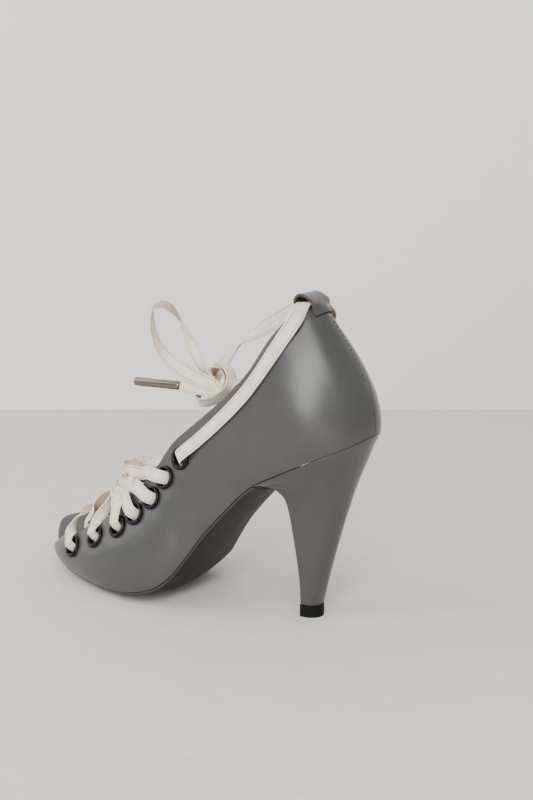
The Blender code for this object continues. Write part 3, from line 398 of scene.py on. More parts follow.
def wall_column(position, heights):
    """Points of the upper's outer face above one place of the outline."""
    row = ring_spline(STATIONS, position % STATION_COUNT)
    foot, edge = foot_point(position), row[3:6]
    outward = foot_normal(position)
    low = foot + (edge - foot) / 3 + outward * row[6]
    high = foot + (edge - foot) * 2 / 3 + outward * row[7]
    return bezier(np.asarray(heights, float)[:, None], foot, low, high, edge)


def wall_point(position, height):
    return wall_column(position, [height])[0]


def wall_normal(position, height):
    step = 0.02
    low, high = max(height - step, 0.0), min(height + step, 1.0)
    up = wall_point(position, high) - wall_point(position, low)
    along = wall_point(position + 0.1, height) - wall_point(position - 0.1, height)
    return unit(np.cross(along, up))


def height_below_edge(position, distance):
    """Height share of the point that lies this far below the free edge."""
    steps = 60
    heights = 1 - np.arange(steps) / steps
    column = wall_column(position, heights)
    travelled = np.cumsum(np.linalg.norm(np.diff(column, axis=0), axis=1))
    index = int(np.searchsorted(travelled, distance))
    return heights[index + 1] if index + 1 < steps else 0.5


def eyelet_places():
    """Centre, outward axis and direction to the free edge of every eyelet."""
    places = {}
    for side in ("lateral", "medial"):
        for number, (station, inset) in enumerate(EYELETS, 1):
            position = station if side == "lateral" else STATION_COUNT - station
            height = height_below_edge(position, inset * EYELET_INSET)
            centre, axis = wall_point(position, height), wall_normal(position, height)
            places[side, number] = (centre, axis, across_axis(wall_point(position, 1.0) - centre, axis))
    return places


PLACES = eyelet_places()


def place(across, along, height):
    return np.array([across * BALL_WIDTH / 2, along_y(along), height * SEAT_HEIGHT])


# Materials
class Finish:
    """Procedural material round one Principled shader, whose constants sit on its own sockets."""

    def __init__(self, name, constants):
        self.material = bpy.data.materials.new(name)
        self.material.use_nodes = True
        self.nodes = self.material.node_tree.nodes
        self.link = self.material.node_tree.links.new
        self.shader = self.nodes["Principled BSDF"]
        self.place = self.nodes.new("ShaderNodeTexCoord").outputs["Object"]
        for socket, value in constants.items():
            self.shader.inputs[socket].default_value = value

    def node(self, kind, **values):
        """Shader node with its settings, and its sockets' values by name."""
        made = self.nodes.new("ShaderNode" + kind)
        for name, value in values.items():
            if hasattr(made, name):
                setattr(made, name, value)
            else:
                made.inputs[name].default_value = value
        return made

    def texture(self, kind, output="Fac", **values):
        made = self.node("Tex" + kind, **values)
        self.link(self.place, made.inputs["Vector"])
        return made.outputs[output]

    def ramp(self, source, stops):
        """Colour ramp from two (position, colour) pairs."""
        made = self.node("ValToRGB")
        for element, (position, colour) in zip(made.color_ramp.elements, stops):
            element.position = position
            element.color = (*colour, 1.0)
        self.link(source, made.inputs[0])
        return made.outputs[0]

    def colour(self, source, colour, variation):
        """Base colour that wanders a little round its middle."""
        low = tuple(channel * (1 - variation) for channel in colour)
        high = tuple(min(channel * (1 + variation), 1.0) for channel in colour)
        self.link(self.ramp(source, [(0.3, low), (0.7, high)]), self.shader.inputs["Base Color"])

    def gloss(self, source, low, high):
        """Roughness between two (position, value) pairs."""
        stops = [(position, (value, value, value)) for position, value in (low, high)]
        self.link(self.ramp(source, stops), self.shader.inputs["Roughness"])

    def bump(self, source, strength, distance, below=None):
        made = self.node("Bump", Strength=strength, Distance=distance)
        self.link(source, made.inputs["Height"])
        if below is not None:
            self.link(below, made.inputs["Normal"])
        self.link(made.outputs[0], self.shader.inputs["Normal"])
        return made.outputs[0]

    def math(self, operation, *values):
        made = self.node("Math", operation=operation)
        for socket, value in zip(made.inputs, values):
            if isinstance(value, float):
                socket.default_value = value
            else:
                self.link(value, socket)
        return made.outputs[0]


def leather(name, colour, roughness, coat, grain=0.10, mottling=0.10, specular=0.5):
    """Smooth finished leather: pebbled pores, soft mottling and a thin polish."""
    made = Finish(name, {"Coat Weight": coat, "Coat Roughness": 0.28, "Specular IOR Level": specular})
    pores = made.texture("Voronoi", "Distance", Scale=1500.0)
    mottle = made.texture("Noise", Scale=70.0, Detail=5.0, Roughness=0.6)
    fine = made.texture("Noise", Scale=900.0, Detail=4.0)
    made.colour(mottle, colour, mottling)
    made.gloss(mottle, (0.25, roughness - 0.04), (0.75, roughness + 0.06))
    made.bump(fine, grain * 0.8, 0.0001, made.bump(pores, grain, 0.0001))
    return made.material


def lace_material(name, colour, seam_colour):
    """Flat lace: a soft face with a row of stitches near each edge, placed by its own map."""
    made = Finish(name, {"Roughness": 0.78, "Sheen Weight": 0.12})
    split = made.node("SeparateXYZ")
    made.link(made.node("UVMap", uv_map="lace").outputs[0], split.inputs[0])
    run, across = split.outputs["X"], split.outputs["Y"]
    fibres = made.texture("Noise", Scale=2200.0, Detail=5.0, Roughness=0.7)
    cloud = made.texture("Noise", Scale=160.0, Detail=4.0)
    rows = [made.math("COMPARE", across, middle, SEAM_HALF_WIDTH) for middle in SEAM_MIDDLES]
    line = made.math("MAXIMUM", *rows)
    repeat = made.math("FRACT", made.math("MULTIPLY", run, 1 / SEAM_STITCH))
    stitch = made.math("MULTIPLY", line, made.math("GREATER_THAN", repeat, 0.30))
    low = tuple(channel * 0.80 for channel in colour)
    mixed = made.node("Mix", data_type="RGBA")
    made.link(stitch, mixed.inputs[0])
    made.link(made.ramp(cloud, [(0.32, low), (0.68, colour)]), mixed.inputs[6])
    mixed.inputs[7].default_value = (*seam_colour, 1.0)
    made.link(mixed.outputs[2], made.shader.inputs["Base Color"])
    dent = made.math("SUBTRACT", made.math("MULTIPLY", fibres, 0.35), line)
    made.bump(dent, 0.60, 0.00030)
    return made.material


def plain(name, colour, roughness, metallic=0.0, specular=0.5, noise_scale=900.0, depth=0.10, variation=0.12):
    """Rubber, enamel, thread or metal with a fine uneven surface."""
    made = Finish(name, {"Metallic": metallic, "Specular IOR Level": specular})
    noise = made.texture("Noise", Scale=noise_scale, Detail=5.0, Roughness=0.65)
    made.colour(noise, colour, variation)
    made.gloss(noise, (0.2, max(roughness - 0.08, 0.02)), (0.8, roughness + 0.08))
    made.bump(noise, depth, 0.0001)
    return made.material


GREY = leather("grey_leather_finish", (0.041, 0.0415, 0.0390), 0.33, 0.22)
# Toe leather: the upper's grey leather with its colour painted darker, as painted shade on the toe dome, and
# rougher with less shine
SHADED_TOE_GREY = leather("toe_leather_painted_shade", (0.036, 0.0365, 0.0340), 0.46, 0.0, specular=0.30)
GREY_EDGE = leather("grey_edge_finish", (0.040, 0.038, 0.034), 0.60, 0.0, grain=0.3)
RAW_EDGE = leather("raw_edge_finish", (0.050, 0.031, 0.023), 0.75, 0.0, grain=0.5)
# Lining: tan leather whose colour is painted down to the dark brown of the shade inside the shoe (painted
# shade)
SHADED_LINING = leather("lining_painted_shade", (0.060, 0.042, 0.030), 0.55, 0.0, grain=0.25)
SOCK = leather("sock_finish", (0.26, 0.19, 0.125), 0.62, 0.0, grain=0.25, mottling=0.16)
SOLE = leather("sole_finish", (0.012, 0.012, 0.010), 0.58, 0.0, grain=0.6, mottling=0.25, specular=0.25)
RUBBER = plain("rubber_finish", (0.006, 0.006, 0.0055), 0.66, specular=0.12, depth=0.4)
ENAMEL = plain("enamel_finish", (0.003, 0.003, 0.003), 0.26, specular=0.22, depth=0.03)
SILVER = plain("silver_finish", (0.20, 0.172, 0.138), 0.20, metallic=1.0, noise_scale=400.0, depth=0.01,
               variation=0.05)
THREAD = plain("thread_finish", (0.030, 0.028, 0.026), 0.7, depth=0.3)
LACE_FACE = lace_material("lace_face_finish", (0.84, 0.745, 0.605), (0.42, 0.33, 0.235))
LACE_BACK = lace_material("lace_back_finish", (0.50, 0.385, 0.25), (0.34, 0.26, 0.17))


# Mesh helpers
def make_object(name, points, faces, finishes, slots=None, uvs=None, smooth_angle=50.0):
    """Object from points and faces, with a finish per face and an optional map of the lace."""
    mesh = bpy.data.meshes.new(name)
    mesh.from_pydata([tuple(map(float, point)) for point in points], [], faces)
    for finish in finishes:
        mesh.materials.append(finish)
    if slots is not None:
        mesh.polygons.foreach_set("material_index", slots)
    if uvs is not None:
        layer = mesh.uv_layers.new(name="lace")
        values = [uvs[loop.vertex_index] for loop in mesh.loops]
        layer.data.foreach_set("uv", [number for pair in values for number in pair])
    mesh.shade_smooth()
    mesh.set_sharp_from_angle(angle=math.radians(smooth_angle))
    made = bpy.data.objects.new(name, mesh)
    bpy.context.collection.objects.link(made)
    return made


def turn_outwards(made):
    build = bmesh.new()
    build.from_mesh(made.data)
    bmesh.ops.recalc_face_normals(build, faces=build.faces)
    if build.calc_volume(signed=True) < 0:
        bmesh.ops.reverse_faces(build, faces=build.faces)
    build.to_mesh(made.data)
    build.free()
    return made


def finish_piece(made, slot, *nodes):
    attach(made, BODY)
    if nodes:
        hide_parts(*nodes)
    return made


def skin(levels, count, wrap=False, start=0):
    """Faces between closed loops of count points; wrap joins the last loop to the first."""
    faces = []
    for level in range(levels if wrap else levels - 1):
        here, there = start + level * count, start + (level + 1) % levels * count
        for i in range(count):
            k = (i + 1) % count
            faces.append((here + i, here + k, there + k, there + i))
    return faces


def caps(levels, count, start=0):
    """Flat ends of the same skin."""
    end = start + (levels - 1) * count
    return [tuple(range(start, start + count)), tuple(range(end, end + count))]


def loft(name, loops, finishes):
    """Skin through loops of as many points each, with flat ends."""
    levels, count = len(loops), len(loops[0])
    points = [point for loop in loops for point in loop]
    return turn_outwards(make_object(name, points, skin(levels, count) + caps(levels, count), finishes))


def slab(name, top, bottom, finishes, slots=(0, 0, 1, 1), ends=(0, -1), smooth_angle=35.0):
    """Plate between two grids of rows; the slots are those over, under, at the sides and at the ends."""
    rows, width = len(top), len(top[0])
    points = [point for grid in (top, bottom) for row in grid for point in row]
    offset = rows * width
    faces, numbers = [], []
    for a in (i * width for i in range(rows - 1)):
        for b in range(a, a + width - 1):
            c = b + width
            faces.append((b, b + 1, c + 1, c))
            faces.append((offset + b, offset + c, offset + c + 1, offset + b + 1))
            numbers += slots[:2]
        for b in (a, a + width - 1):
            faces.append((b, b + width, offset + b + width, offset + b))
            numbers.append(slots[2])
    for a in (i % rows * width for i in ends):
        for b in range(a, a + width - 1):
            faces.append((b, offset + b, offset + b + 1, b + 1))
            numbers.append(slots[3])
    return turn_outwards(make_object(name, points, faces, finishes, numbers, smooth_angle=smooth_angle))


# Upper, sole and heel
def make_upper():
    """Hollow leather wall with a rounded free edge, lined inside, and holes for the eyelets."""
    columns = STATION_COUNT * COLUMNS_PER_STATION
    shares = np.linspace(0, 1, WALL_ROWS + 1)
    heights = 1 - (1 - shares) ** 1.25
    outer = np.array([wall_column(c / COLUMNS_PER_STATION, heights) for c in range(columns)])
    along = np.roll(outer, -1, axis=0) - np.roll(outer, 1, axis=0)
    up = np.gradient(outer, axis=1)
    normals = np.cross(along, up)
    normals /= np.linalg.norm(normals, axis=2)[:, :, None]
    level = np.array([foot_normal(c / COLUMNS_PER_STATION) for c in range(columns)])
    outer = outer + normals * eyelet_pull(outer)[:, :, None]
    inner = outer - normals * WALL
    inner[:, 0] = outer[:, 0] - level * WALL
    for column in range(columns):
        inner[column, 0, 2] = bed_height(inner[column, 0, 1])
    half = WALL / 2
    top_up = up[:, -1] / np.linalg.norm(up[:, -1], axis=1)[:, None]
    middle = (outer[:, -1] + inner[:, -1]) / 2 - top_up * half * 0.6
    rim = []
    for step in range(1, 6):
        angle = math.pi * step / 6
        rim.append(middle + normals[:, -1] * half * math.cos(angle) + top_up * half * 1.1 * math.sin(angle))
    outer[:, -1] -= top_up * half * 0.6
    inner[:, -1] -= top_up * half * 0.6
    section = [outer[:, j] for j in range(WALL_ROWS + 1)] + rim
    section += [inner[:, j] for j in range(WALL_ROWS, -1, -1)]
    rows = len(section)
    outside = WALL_ROWS + 3
    slots = ([0] * outside + [1] * (rows - 1 - outside) + [2]) * columns
    points = np.stack(section, axis=1).reshape(-1, 3)
    faces = skin(columns, rows, wrap=True)
    # The inner faces take the lining, whose dark brown is painted shade
    made = turn_outwards(make_object("leather_upper", points, faces, [GREY, SHADED_LINING, GREY_EDGE], slots))
    punch(made, EYELET_HOLE / 2 + EYELET_BARREL + 0.0001)
    return finish_piece(made, "grey_leather", "upper")


def eyelet_pull(outer):
    """Shallow ring that each eyelet pulls into the leather."""
    total = np.zeros(outer.shape[:2])
    for centre, _, _ in PLACES.values():
        distance = np.linalg.norm(outer - centre, axis=2)
        total -= PULL_DEPTH * np.exp(-((distance - EYELET_FLANGE / 2) / PULL_WIDTH) ** 2)
    return total


def punch(target, radius):
    """Cuts the eyelet holes through the wall."""
    build = bmesh.new()
    for centre, axis, _ in PLACES.values():
        turn = Vector(axis).to_track_quat("Z", "Y").to_matrix().to_4x4()
        bmesh.ops.create_cone(build, cap_ends=True, segments=32, radius1=radius, radius2=radius,
                              depth=6 * WALL, matrix=Matrix.Translation(Vector(centre)) @ turn)
    mesh = bpy.data.meshes.new("eyelet_holes")
    build.to_mesh(mesh)
    build.free()
    cutter = bpy.data.objects.new("eyelet_holes", mesh)
    bpy.context.collection.objects.link(cutter)
    modifier = target.modifiers.new("eyelet_holes", "BOOLEAN")
    modifier.operation = "DIFFERENCE"
    modifier.solver = "EXACT"
    modifier.object = cutter
    evaluated = target.evaluated_get(bpy.context.evaluated_depsgraph_get())
    cut = bpy.data.meshes.new_from_object(evaluated)
    target.modifiers.remove(modifier)
    target.data = cut
    bpy.data.objects.remove(cutter)
    bpy.data.meshes.remove(mesh)


def dome_section(position, depth, steps):
    """Section of the toe dome, from the insole up inside one wall, over the crest and down the other."""
    mirror = STATION_COUNT - position
    floor = INSOLE_THICKNESS + 2 * GAP
    tip = wall_point(0.0, 1.0) - wall_normal(0.0, 1.0) * depth
    crest_rows = [(across * BALL_WIDTH / 2, along_y(along), tip[2] + height * TOE_BOX_HEIGHT)
                  for across, along, height in TOE_CREST]
    crest_rows[0] = tuple(tip)
    here = spline(crest_rows, position * 2)
    run = spline(crest_rows, position * 2 + 0.1) - spline(crest_rows, max(position * 2 - 0.1, 0.0))
    up = unit((0.0, -run[2], run[1]))
    below = depth - WALL - GAP * 1.5
    crest = here - up * below * min(position * 2, 1.0)
    sides = []
    for spot in (position, mirror):
        low, high = 0.0, 1.0
        for _ in range(20):
            middle = (low + high) / 2
            point = wall_point(spot, middle)
            if point[2] < bed_height(point[1]) + floor:
                low = middle
            else:
                high = middle
        side = []
        for index in range(steps):
            height = high + (1 - high) * index / steps
            side.append(wall_point(spot, height) - wall_normal(spot, height) * depth)
        sides.append(side)
    left = wall_point(position, 1.0) - wall_normal(position, 1.0) * depth
    right = wall_point(mirror, 1.0) - wall_normal(mirror, 1.0) * depth
    knee = (crest - (left + right) * (4 - 3 * DOME_PULL) / 8) * 8 / (6 * DOME_PULL)
    first, second = left + DOME_PULL * (knee - left), right + DOME_PULL * (knee - right)
    section = list(sides[0])
    spans = 8 * steps
    section += [bezier(index / spans, left, first, second, right) for index in range(spans + 1)]
    return section + sides[1][::-1]


def make_vamp():
    """Toe dome: a wall inside the upper's band, carried over the toes."""
    steps, spans = 4, 40
    depth = WALL + GAP * 1.5
    spots = [VAMP_END_STATION * (index / spans) ** 1.2 for index in range(spans + 1)]
    over = [dome_section(spot, depth, steps) for spot in spots]
    under = [dome_section(spot, depth + VAMP_WALL, steps) for spot in spots]
    # The dome's outer face takes the toe leather, whose darker colour is painted shade
    made = slab("leather_toe", over, under, [SHADED_TOE_GREY, SHADED_LINING, GREY_EDGE], (0, 1, 1, 2), (-1,), 50.0)
    return finish_piece(made, "grey_leather", "toe_vamp")


def plan_rows(first, last, count, inset, spans):
    """Rows of plan points between the outer and inner outline, from one station to another."""
    rows = []
    for index in range(count + 1):
        position = first + (last - first) * index / count
        outer = foot_point(position) - foot_normal(position) * inset
        mirror = STATION_COUNT - position
        inner = foot_point(mirror) - foot_normal(mirror) * inset
        rows.append([outer + (inner - outer) * step / spans for step in range(spans + 1)])
    return rows


def make_outsole():
    spans, count = 24, 150
    rows = plan_rows(0, BREAST_STATION, count, SOLE_INSET, spans)
    lower = plan_rows(0, BREAST_STATION, count, 2 * SOLE_INSET, spans)
    top, bottom = [], []
    for row, under in zip(rows, lower):
        half = np.linalg.norm(under[0] - under[-1]) / 2
        crown = SOLE_CROWN * min(1.0, half / (BALL_WIDTH / 3))
        top.append([(p[0], p[1], bed_height(p[1]) - 1.4 * GAP) for p in row])
        level = []
        for step, point in enumerate(under):
            share = 2 * step / spans - 1
            height = bed_height(point[1]) - SOLE_EDGE - 1.3 * crown * (1 - share * share)
            level.append((point[0], point[1], max(height, 0.0)))
        bottom.append(level)
    made = slab("sole_plate", top, bottom, [SOLE, GREY_EDGE])
    return finish_piece(made, "dark_sole", "outsole")


def make_insole():
    spans, count = 16, 180
    reach = WALL + GAP * 2
    top, bottom = [], []
    for row in plan_rows(0, BACK_STATION - 0.02, count, reach, spans):
        top.append([(p[0], p[1], bed_height(p[1]) + INSOLE_THICKNESS) for p in row])
        bottom.append([(p[0], p[1], bed_height(p[1]) + GAP) for p in row])
    made = slab("sock_lining", top, bottom, [SOCK, SOCK])
    return finish_piece(made, "tan_sock", "insole")


def make_heel():
    """Leather covered heel: smooth sections from the lift up to the seat."""
    per_station, breast_points = 6, 14
    positions = np.linspace(BREAST_STATION, STATION_COUNT - BREAST_STATION,
                            (STATION_COUNT - 2 * BREAST_STATION) * per_station + 1)
    top = [foot_point(p) - foot_normal(p) * SOLE_INSET / 2 for p in positions]
    start, end = top[-1], top[0]
    for step in range(1, breast_points):
        top.append(start + (end - start) * step / breast_points)
    xs, ys = np.array([p[0] for p in top]), np.array([p[1] for p in top])
    half = (xs.max() - xs.min()) / 2
    front, back = ys.min(), ys.max()
    breast_y = along_y(OUTER_STATIONS[BREAST_STATION][1])
    low = LIFT_THICKNESS + GAP
    levels = []
    for front_share, front_high, back_share, back_high, width in HEEL_SECTIONS:
        levels.append((front_share * breast_y, back_share * SEAT_OVERHANG,
                       low + front_high * (SEAT_HEIGHT - low), low + back_high * (SEAT_HEIGHT - low), width))
    loops = []
    steps = 6 * (len(levels) - 1)
    for index in range(steps + 1):
        front_y, back_y, front_z, back_z, width = spline(levels, index / 6)
        loop = []
        for x, y in zip(xs, ys):
            depth = (y - front) / (back - front)
            hollow = BREAST_HOLLOW * (1 - (x / half) ** 2) * (1 - depth) ** 4
            loop.append((x * width, front_y + (back_y - front_y) * depth + hollow,
                         front_z + (back_z - front_z) * depth))
        loops.append(loop)
    seat = [(p[0], p[1], bed_height(p[1]) - GAP) for p in top]
    middle = np.array([sum(xs) / len(xs), sum(ys) / len(ys)])
    under_seat = loops[steps]
    for share, inset in ((0.35, 0.0), (0.7, 0.0), (0.88, 0.0001), (0.97, 0.0004), (1.0, 0.0009)):
        loop = []
        for low_point, high_point in zip(under_seat, seat):
            point = np.array(low_point) * (1 - share) + np.array(high_point) * share
            inwards = middle - point[:2]
            point[:2] += inwards / np.linalg.norm(inwards) * inset
            loop.append(tuple(point))
        loops.append(loop)
    made = loft("heel_cover", loops, [GREY])
    return finish_piece(made, "grey_leather", "heel")


def make_eyelets():
    """Enamelled eyelets: a rounded rim outside, a barrel through the wall and a washer inside."""
    bore, flange = EYELET_HOLE / 2, EYELET_FLANGE / 2
    middle, half = (bore + flange) / 2, (flange - bore) / 2
    profile = [(bore, -WALL - 0.0003), (bore + 0.0012, -WALL - 0.0006), (bore + 0.0022, -WALL - 0.0003),
               (bore + EYELET_BARREL, -WALL), (bore + EYELET_BARREL, 0.0001), (flange, 0.00005)]
    for step in range(1, 10):
        angle = math.pi * step / 10
        profile.append((middle + half * math.cos(angle), 0.0001 + EYELET_LIP * math.sin(angle)))
    profile.append((bore, 0.0001))
    sides, rows = 40, len(profile)
    for (side, number), (centre, axis, _) in PLACES.items():
        turn = Vector(axis).to_track_quat("Z", "Y").to_matrix()
        points = []
        for i in range(sides):
            angle = 2 * math.pi * i / sides
            for radius, height in profile:
                local = Vector((radius * math.cos(angle), radius * math.sin(angle), height))
                points.append(np.array(turn @ local) + centre)
        made = make_object(f"eyelet_ring_{side}_{number}", points, skin(sides, rows, wrap=True), [ENAMEL])
        turn_outwards(made)
        finish_piece(made, "black_metal", f"eyelet_{side}_{number}")


# Laces
def photo_axes():
    """View direction, right and up of the photograph's camera."""
    level = math.cos(CAMERA_PITCH)
    view = unit((CAMERA_HEADING[0] * level, CAMERA_HEADING[1] * level, -math.sin(CAMERA_PITCH)))
    right = unit(np.cross(view, (0.0, 0.0, 1.0)))
    return view, right, np.cross(right, view)


VIEW, RIGHT, UPWARD = photo_axes()
FOCAL_PIXELS = CAMERA_LENS / SENSOR_WIDTH * max(IMAGE_SIZE)


def seen_at(pixel_x, pixel_y, across):
    """Point that the photograph shows at a pixel, this many millimetres across the shoe."""
    from_middle_x, from_middle_y = pixel_x - IMAGE_SIZE[0] / 2, pixel_y - IMAGE_SIZE[1] / 2
    ray = VIEW + (RIGHT * from_middle_x - UPWARD * from_middle_y) / FOCAL_PIXELS
    start = np.array(CAMERA_PLACE)
    return start + ray * (across / 1000 - start[0]) / ray[0]


def seen_rows(rows):
    """Lace controls from rows of pixel x, pixel y, millimetres across, turn in degrees and width share."""
    return [(seen_at(x, y, across), float(turn), share * LACE_WIDTH) for x, y, across, turn, share in rows]


def lace_strip(name, controls, samples, curl=0.0):
    """Flat lace along a smooth path, with a pale face, a tan back and rounded edges.

    Each control is a point, the way the face looks, and a width. The way is a direction, or an
    angle in degrees that the face is turned from the photograph's camera, about the lace.
    """
    points = [np.asarray(control[0], float) for control in controls]
    last = len(points) - 1
    rows = []
    for index, (point, turn, width) in enumerate(controls):
        tangent = unit(points[min(index + 1, last)] - points[max(index - 1, 0)])
        if isinstance(turn, float):
            towards = unit(-VIEW + tangent * tangent.dot(VIEW))
            angle = math.radians(turn)
            normal = towards * math.cos(angle) + np.cross(tangent, towards) * math.sin(angle)
        else:
            normal = unit(turn)
        rows.append(np.concatenate([points[index], normal, [width]]))
    sampled = np.array([spline(rows, last * index / (samples - 1)) for index in range(samples)])
    centres = sampled[:, :3]
    around = 16
    shape, uvs, run = [], [], 0.0
    for index in range(samples):
        tangent = unit(centres[min(index + 1, samples - 1)] - centres[max(index - 1, 0)])
        normal = sampled[index, 3:6]
        normal = unit(normal - tangent * tangent.dot(normal))
        broad = np.cross(normal, tangent)
        if index:
            run += np.linalg.norm(centres[index] - centres[index - 1])
        width = sampled[index, 6]
        for step in range(around):
            angle = 2 * math.pi * (step + 0.5) / around
            across = math.copysign(abs(math.cos(angle)) ** 0.35, math.cos(angle))
            through = math.copysign(abs(math.sin(angle)) ** 0.6, math.sin(angle))
            lift = curl * width * across * across
            shape.append(centres[index] + broad * across * width / 2
                         + normal * (through * LACE_THICKNESS / 2 + lift))
            uvs.append((run, across / 2 + 0.5))
    faces = skin(samples, around) + caps(samples, around)
    half = around // 2
    slots = ([0] * (half - 1) + [1] * half + [0]) * (samples - 1) + [0, 0]
    made = make_object(name, shape, faces, [LACE_FACE, LACE_BACK], slots, uvs, smooth_angle=60.0)
    return turn_outwards(made), [tuple(point) for point in centres]


def out_of_eyelet(centre, axis, heading, back_off=0.35):
    """Controls of a lace that comes out of an eyelet and lies down towards its heading."""
    bore = EYELET_HOLE / 2
    stages = [
        (-0.0062, -(back_off + 0.30), -heading, 0.86), (-0.0018, -(back_off + 0.12), -heading, 0.88),
        (0.0014, -(back_off - 0.25), axis * 0.8 - heading, 0.92), (0.0026, 0.75, axis, 0.97),
    ]
    return [(centre + axis * out + heading * bore * ahead, face, LACE_WIDTH * width)
            for out, ahead, face, width in stages]


def under_flap(side, station, number):
    """Controls of a lace that goes in under a flap, to the inside of an eyelet."""
    position = station if side == "lateral" else STATION_COUNT - station
    lip, axis = wall_point(position, 1.0), wall_normal(position, 1.0)
    upwards = unit(lip - wall_point(position, 0.94))
    centre, inner_axis, edge = PLACES[side, number]
    tucked = lip - axis * (WALL + 0.0026) + upwards * 0.0008
    return [
        (tucked, axis + (0.0, 0.0, 0.6), LACE_WIDTH * 0.92),
        (centre - inner_axis * (WALL + 0.0034) + edge * EYELET_HOLE * 0.55, inner_axis, LACE_WIDTH * 0.90),
        (centre - inner_axis * (WALL + 0.0030) + edge * EYELET_HOLE * 0.10, inner_axis, LACE_WIDTH * 0.88),
    ]


def make_crossings():
    """Two strips at each crossing: one comes out of each flap's eyelet and goes in under the other."""
    for number in range(1, 7):
        index = number - 1
        rows = seen_rows(NEAR_STRIPS[index])
        target, lip_station = rows[0][0], NEAR_LIP_STATIONS[index]
        if lip_station is not None:
            target, lip_axis = wall_point(lip_station, 1.0), wall_normal(lip_station, 1.0)
            rows.insert(0, (target + lip_axis * 0.0024, lip_axis - VIEW * 0.35, LACE_WIDTH * 0.98))
        centre, axis, _ = PLACES["lateral", number]
        heading = across_axis(target - centre, axis)
        dive = under_flap("medial", FLAP_STATIONS[number], number + 1)
        middle = (rows[-1][0] + dive[0][0]) / 2 - (0.0, 0.0, 0.0010)
        controls = out_of_eyelet(centre, axis, heading, NEAR_BACK_OFF[index]) + rows
        controls += [(middle, (0.2, 0.3, 1.0), LACE_WIDTH * 0.92)] + dive
        near, _ = lace_strip(f"lace_near_{number}", controls, 96, curl=0.02)
        finish_piece(near, "cream_lace", f"lace_cross_{number}")

        centre, axis, _ = PLACES["medial", number]
        position = STATION_COUNT - FLAP_STATIONS[index]
        lip, lip_axis = wall_point(position, 1.0), wall_normal(position, 1.0)
        controls = out_of_eyelet(centre, axis, across_axis(lip - centre, axis))
        controls.append((lip + lip_axis * 0.0018, lip_axis + (0.0, 0.0, 0.5), LACE_WIDTH * 0.95))
        controls += seen_rows(FAR_STRIPS[index]) + under_flap("lateral", FAR_DIVES[index], number + 1)
        far, _ = lace_strip(f"lace_far_{number}", controls, 110, curl=0.02)
        finish_piece(far, "cream_lace", f"lace_cross_{number}")


def make_side_laces():
    """The lace beside the collar, from the top eyelet to the keeper, on either side."""
    for side, sign in (("lateral", 1), ("medial", -1)):
        centre, axis, _ = PLACES[side, 7]
        beside = []
        for station, inset, lift in SIDE_LACE:
            position = station if sign > 0 else STATION_COUNT - station
            height = height_below_edge(position, inset * EYELET_INSET)
            point, normal = wall_point(position, height), wall_normal(position, height)
            beside.append((point + normal * lift * LACE_WIDTH, normal, LACE_WIDTH))
        heading = across_axis(beside[0][0] - centre, axis)
        top = [place(sign * row[0], row[1], row[2]) for row in SIDE_LACE_TOP]
        for index, row in enumerate(SIDE_LACE_TOP):
            tangent = top[min(index + 1, len(top) - 1)] - top[max(index - 1, 0)]
            normal = np.cross(tangent, (sign * row[3], row[4], row[5]))
            outward = np.array([sign * 0.6, 0.2, 1.0])
            beside.append((top[index], normal if normal.dot(outward) > 0 else -normal, LACE_WIDTH))
        controls = out_of_eyelet(centre, axis, heading, 0.30) + beside
        made, _ = lace_strip(f"lace_beside_collar_{side}", controls, 150)
        finish_piece(made, "cream_lace", f"lace_side_{side}")


def make_aglet(name, ends, node):
    """Crimped metal tube with a lengthwise fold and rounded ends."""
    start, end = place(*ends[0]), place(*ends[1])
    turn = Vector(unit(end - start)).to_track_quat("Z", "Y").to_matrix()
    radius = AGLET_DIAMETER / 2
    stations = [(0.0, 0.80), (0.0003, 0.96), (0.0012, 1.0), (AGLET_LENGTH * 0.5, 0.985),
                (AGLET_LENGTH - 0.0010, 1.0), (AGLET_LENGTH - 0.0003, 0.95), (AGLET_LENGTH, 0.82)]
    around = 40
    loops = []
    for distance, share in stations:
        loop = []
        for i in range(around):
            angle = 2 * math.pi * i / around
            fold = 1 - 0.16 * math.exp(-((angle - 1.1) / 0.16) ** 2)
            out = radius * share * fold
            local = Vector((out * math.cos(angle), out * math.sin(angle), distance))
            loop.append(np.array(turn @ local) + start)
        loops.append(loop)
    made = loft(name, loops, [SILVER])
    return finish_piece(made, "silver_metal", node)


def make_knot():
    """Knot of the bow: a band wrapped round the bundle, and a small turn behind it."""
    turns = []
    for name, rows in (("knot_wrap", KNOT_WRAP), ("knot_core", KNOT_CORE)):
        made, _ = lace_strip(name, seen_rows(rows), 90, curl=0.02)
        turns.append(finish_piece(made, "cream_lace", "lace_knot"))
    return turns


def make_free_laces():
    """The two free ends from the keeper through the knot to their tips, and the bow's loop."""
    knot = make_knot()
    tips = {
        "lateral": make_aglet("lace_tip_lateral", AGLET_LATERAL, "aglet_lateral"),
        "medial": make_aglet("lace_tip_medial", AGLET_MEDIAL, "aglet_medial"),
    }
    facings = [(0.0, 0.35, 1.0)] * 2 + [(-1.0, 0.2, 0.2)] * 3
    hidden_tail = [(place(*row), facing, LACE_WIDTH) for row, facing in zip(TAIL_MEDIAL, facings)]
    routes = {
        "lateral": seen_rows(NEAR_STRAND) + seen_rows(NEAR_TAIL),
        "medial": seen_rows(FAR_STRAND) + hidden_tail,
    }
    for side, controls in routes.items():
        made, centres = lace_strip(f"free_lace_{side}", controls, 170, curl=0.03)
        finish_piece(made, "cream_lace", f"lace_strand_{side}", f"lace_tail_{side}")
    made, centres = lace_strip("bow_of_lace", seen_rows(LOOP_OF_BOW), 170, curl=0.03)
    finish_piece(made, "cream_lace", "bow_loop")


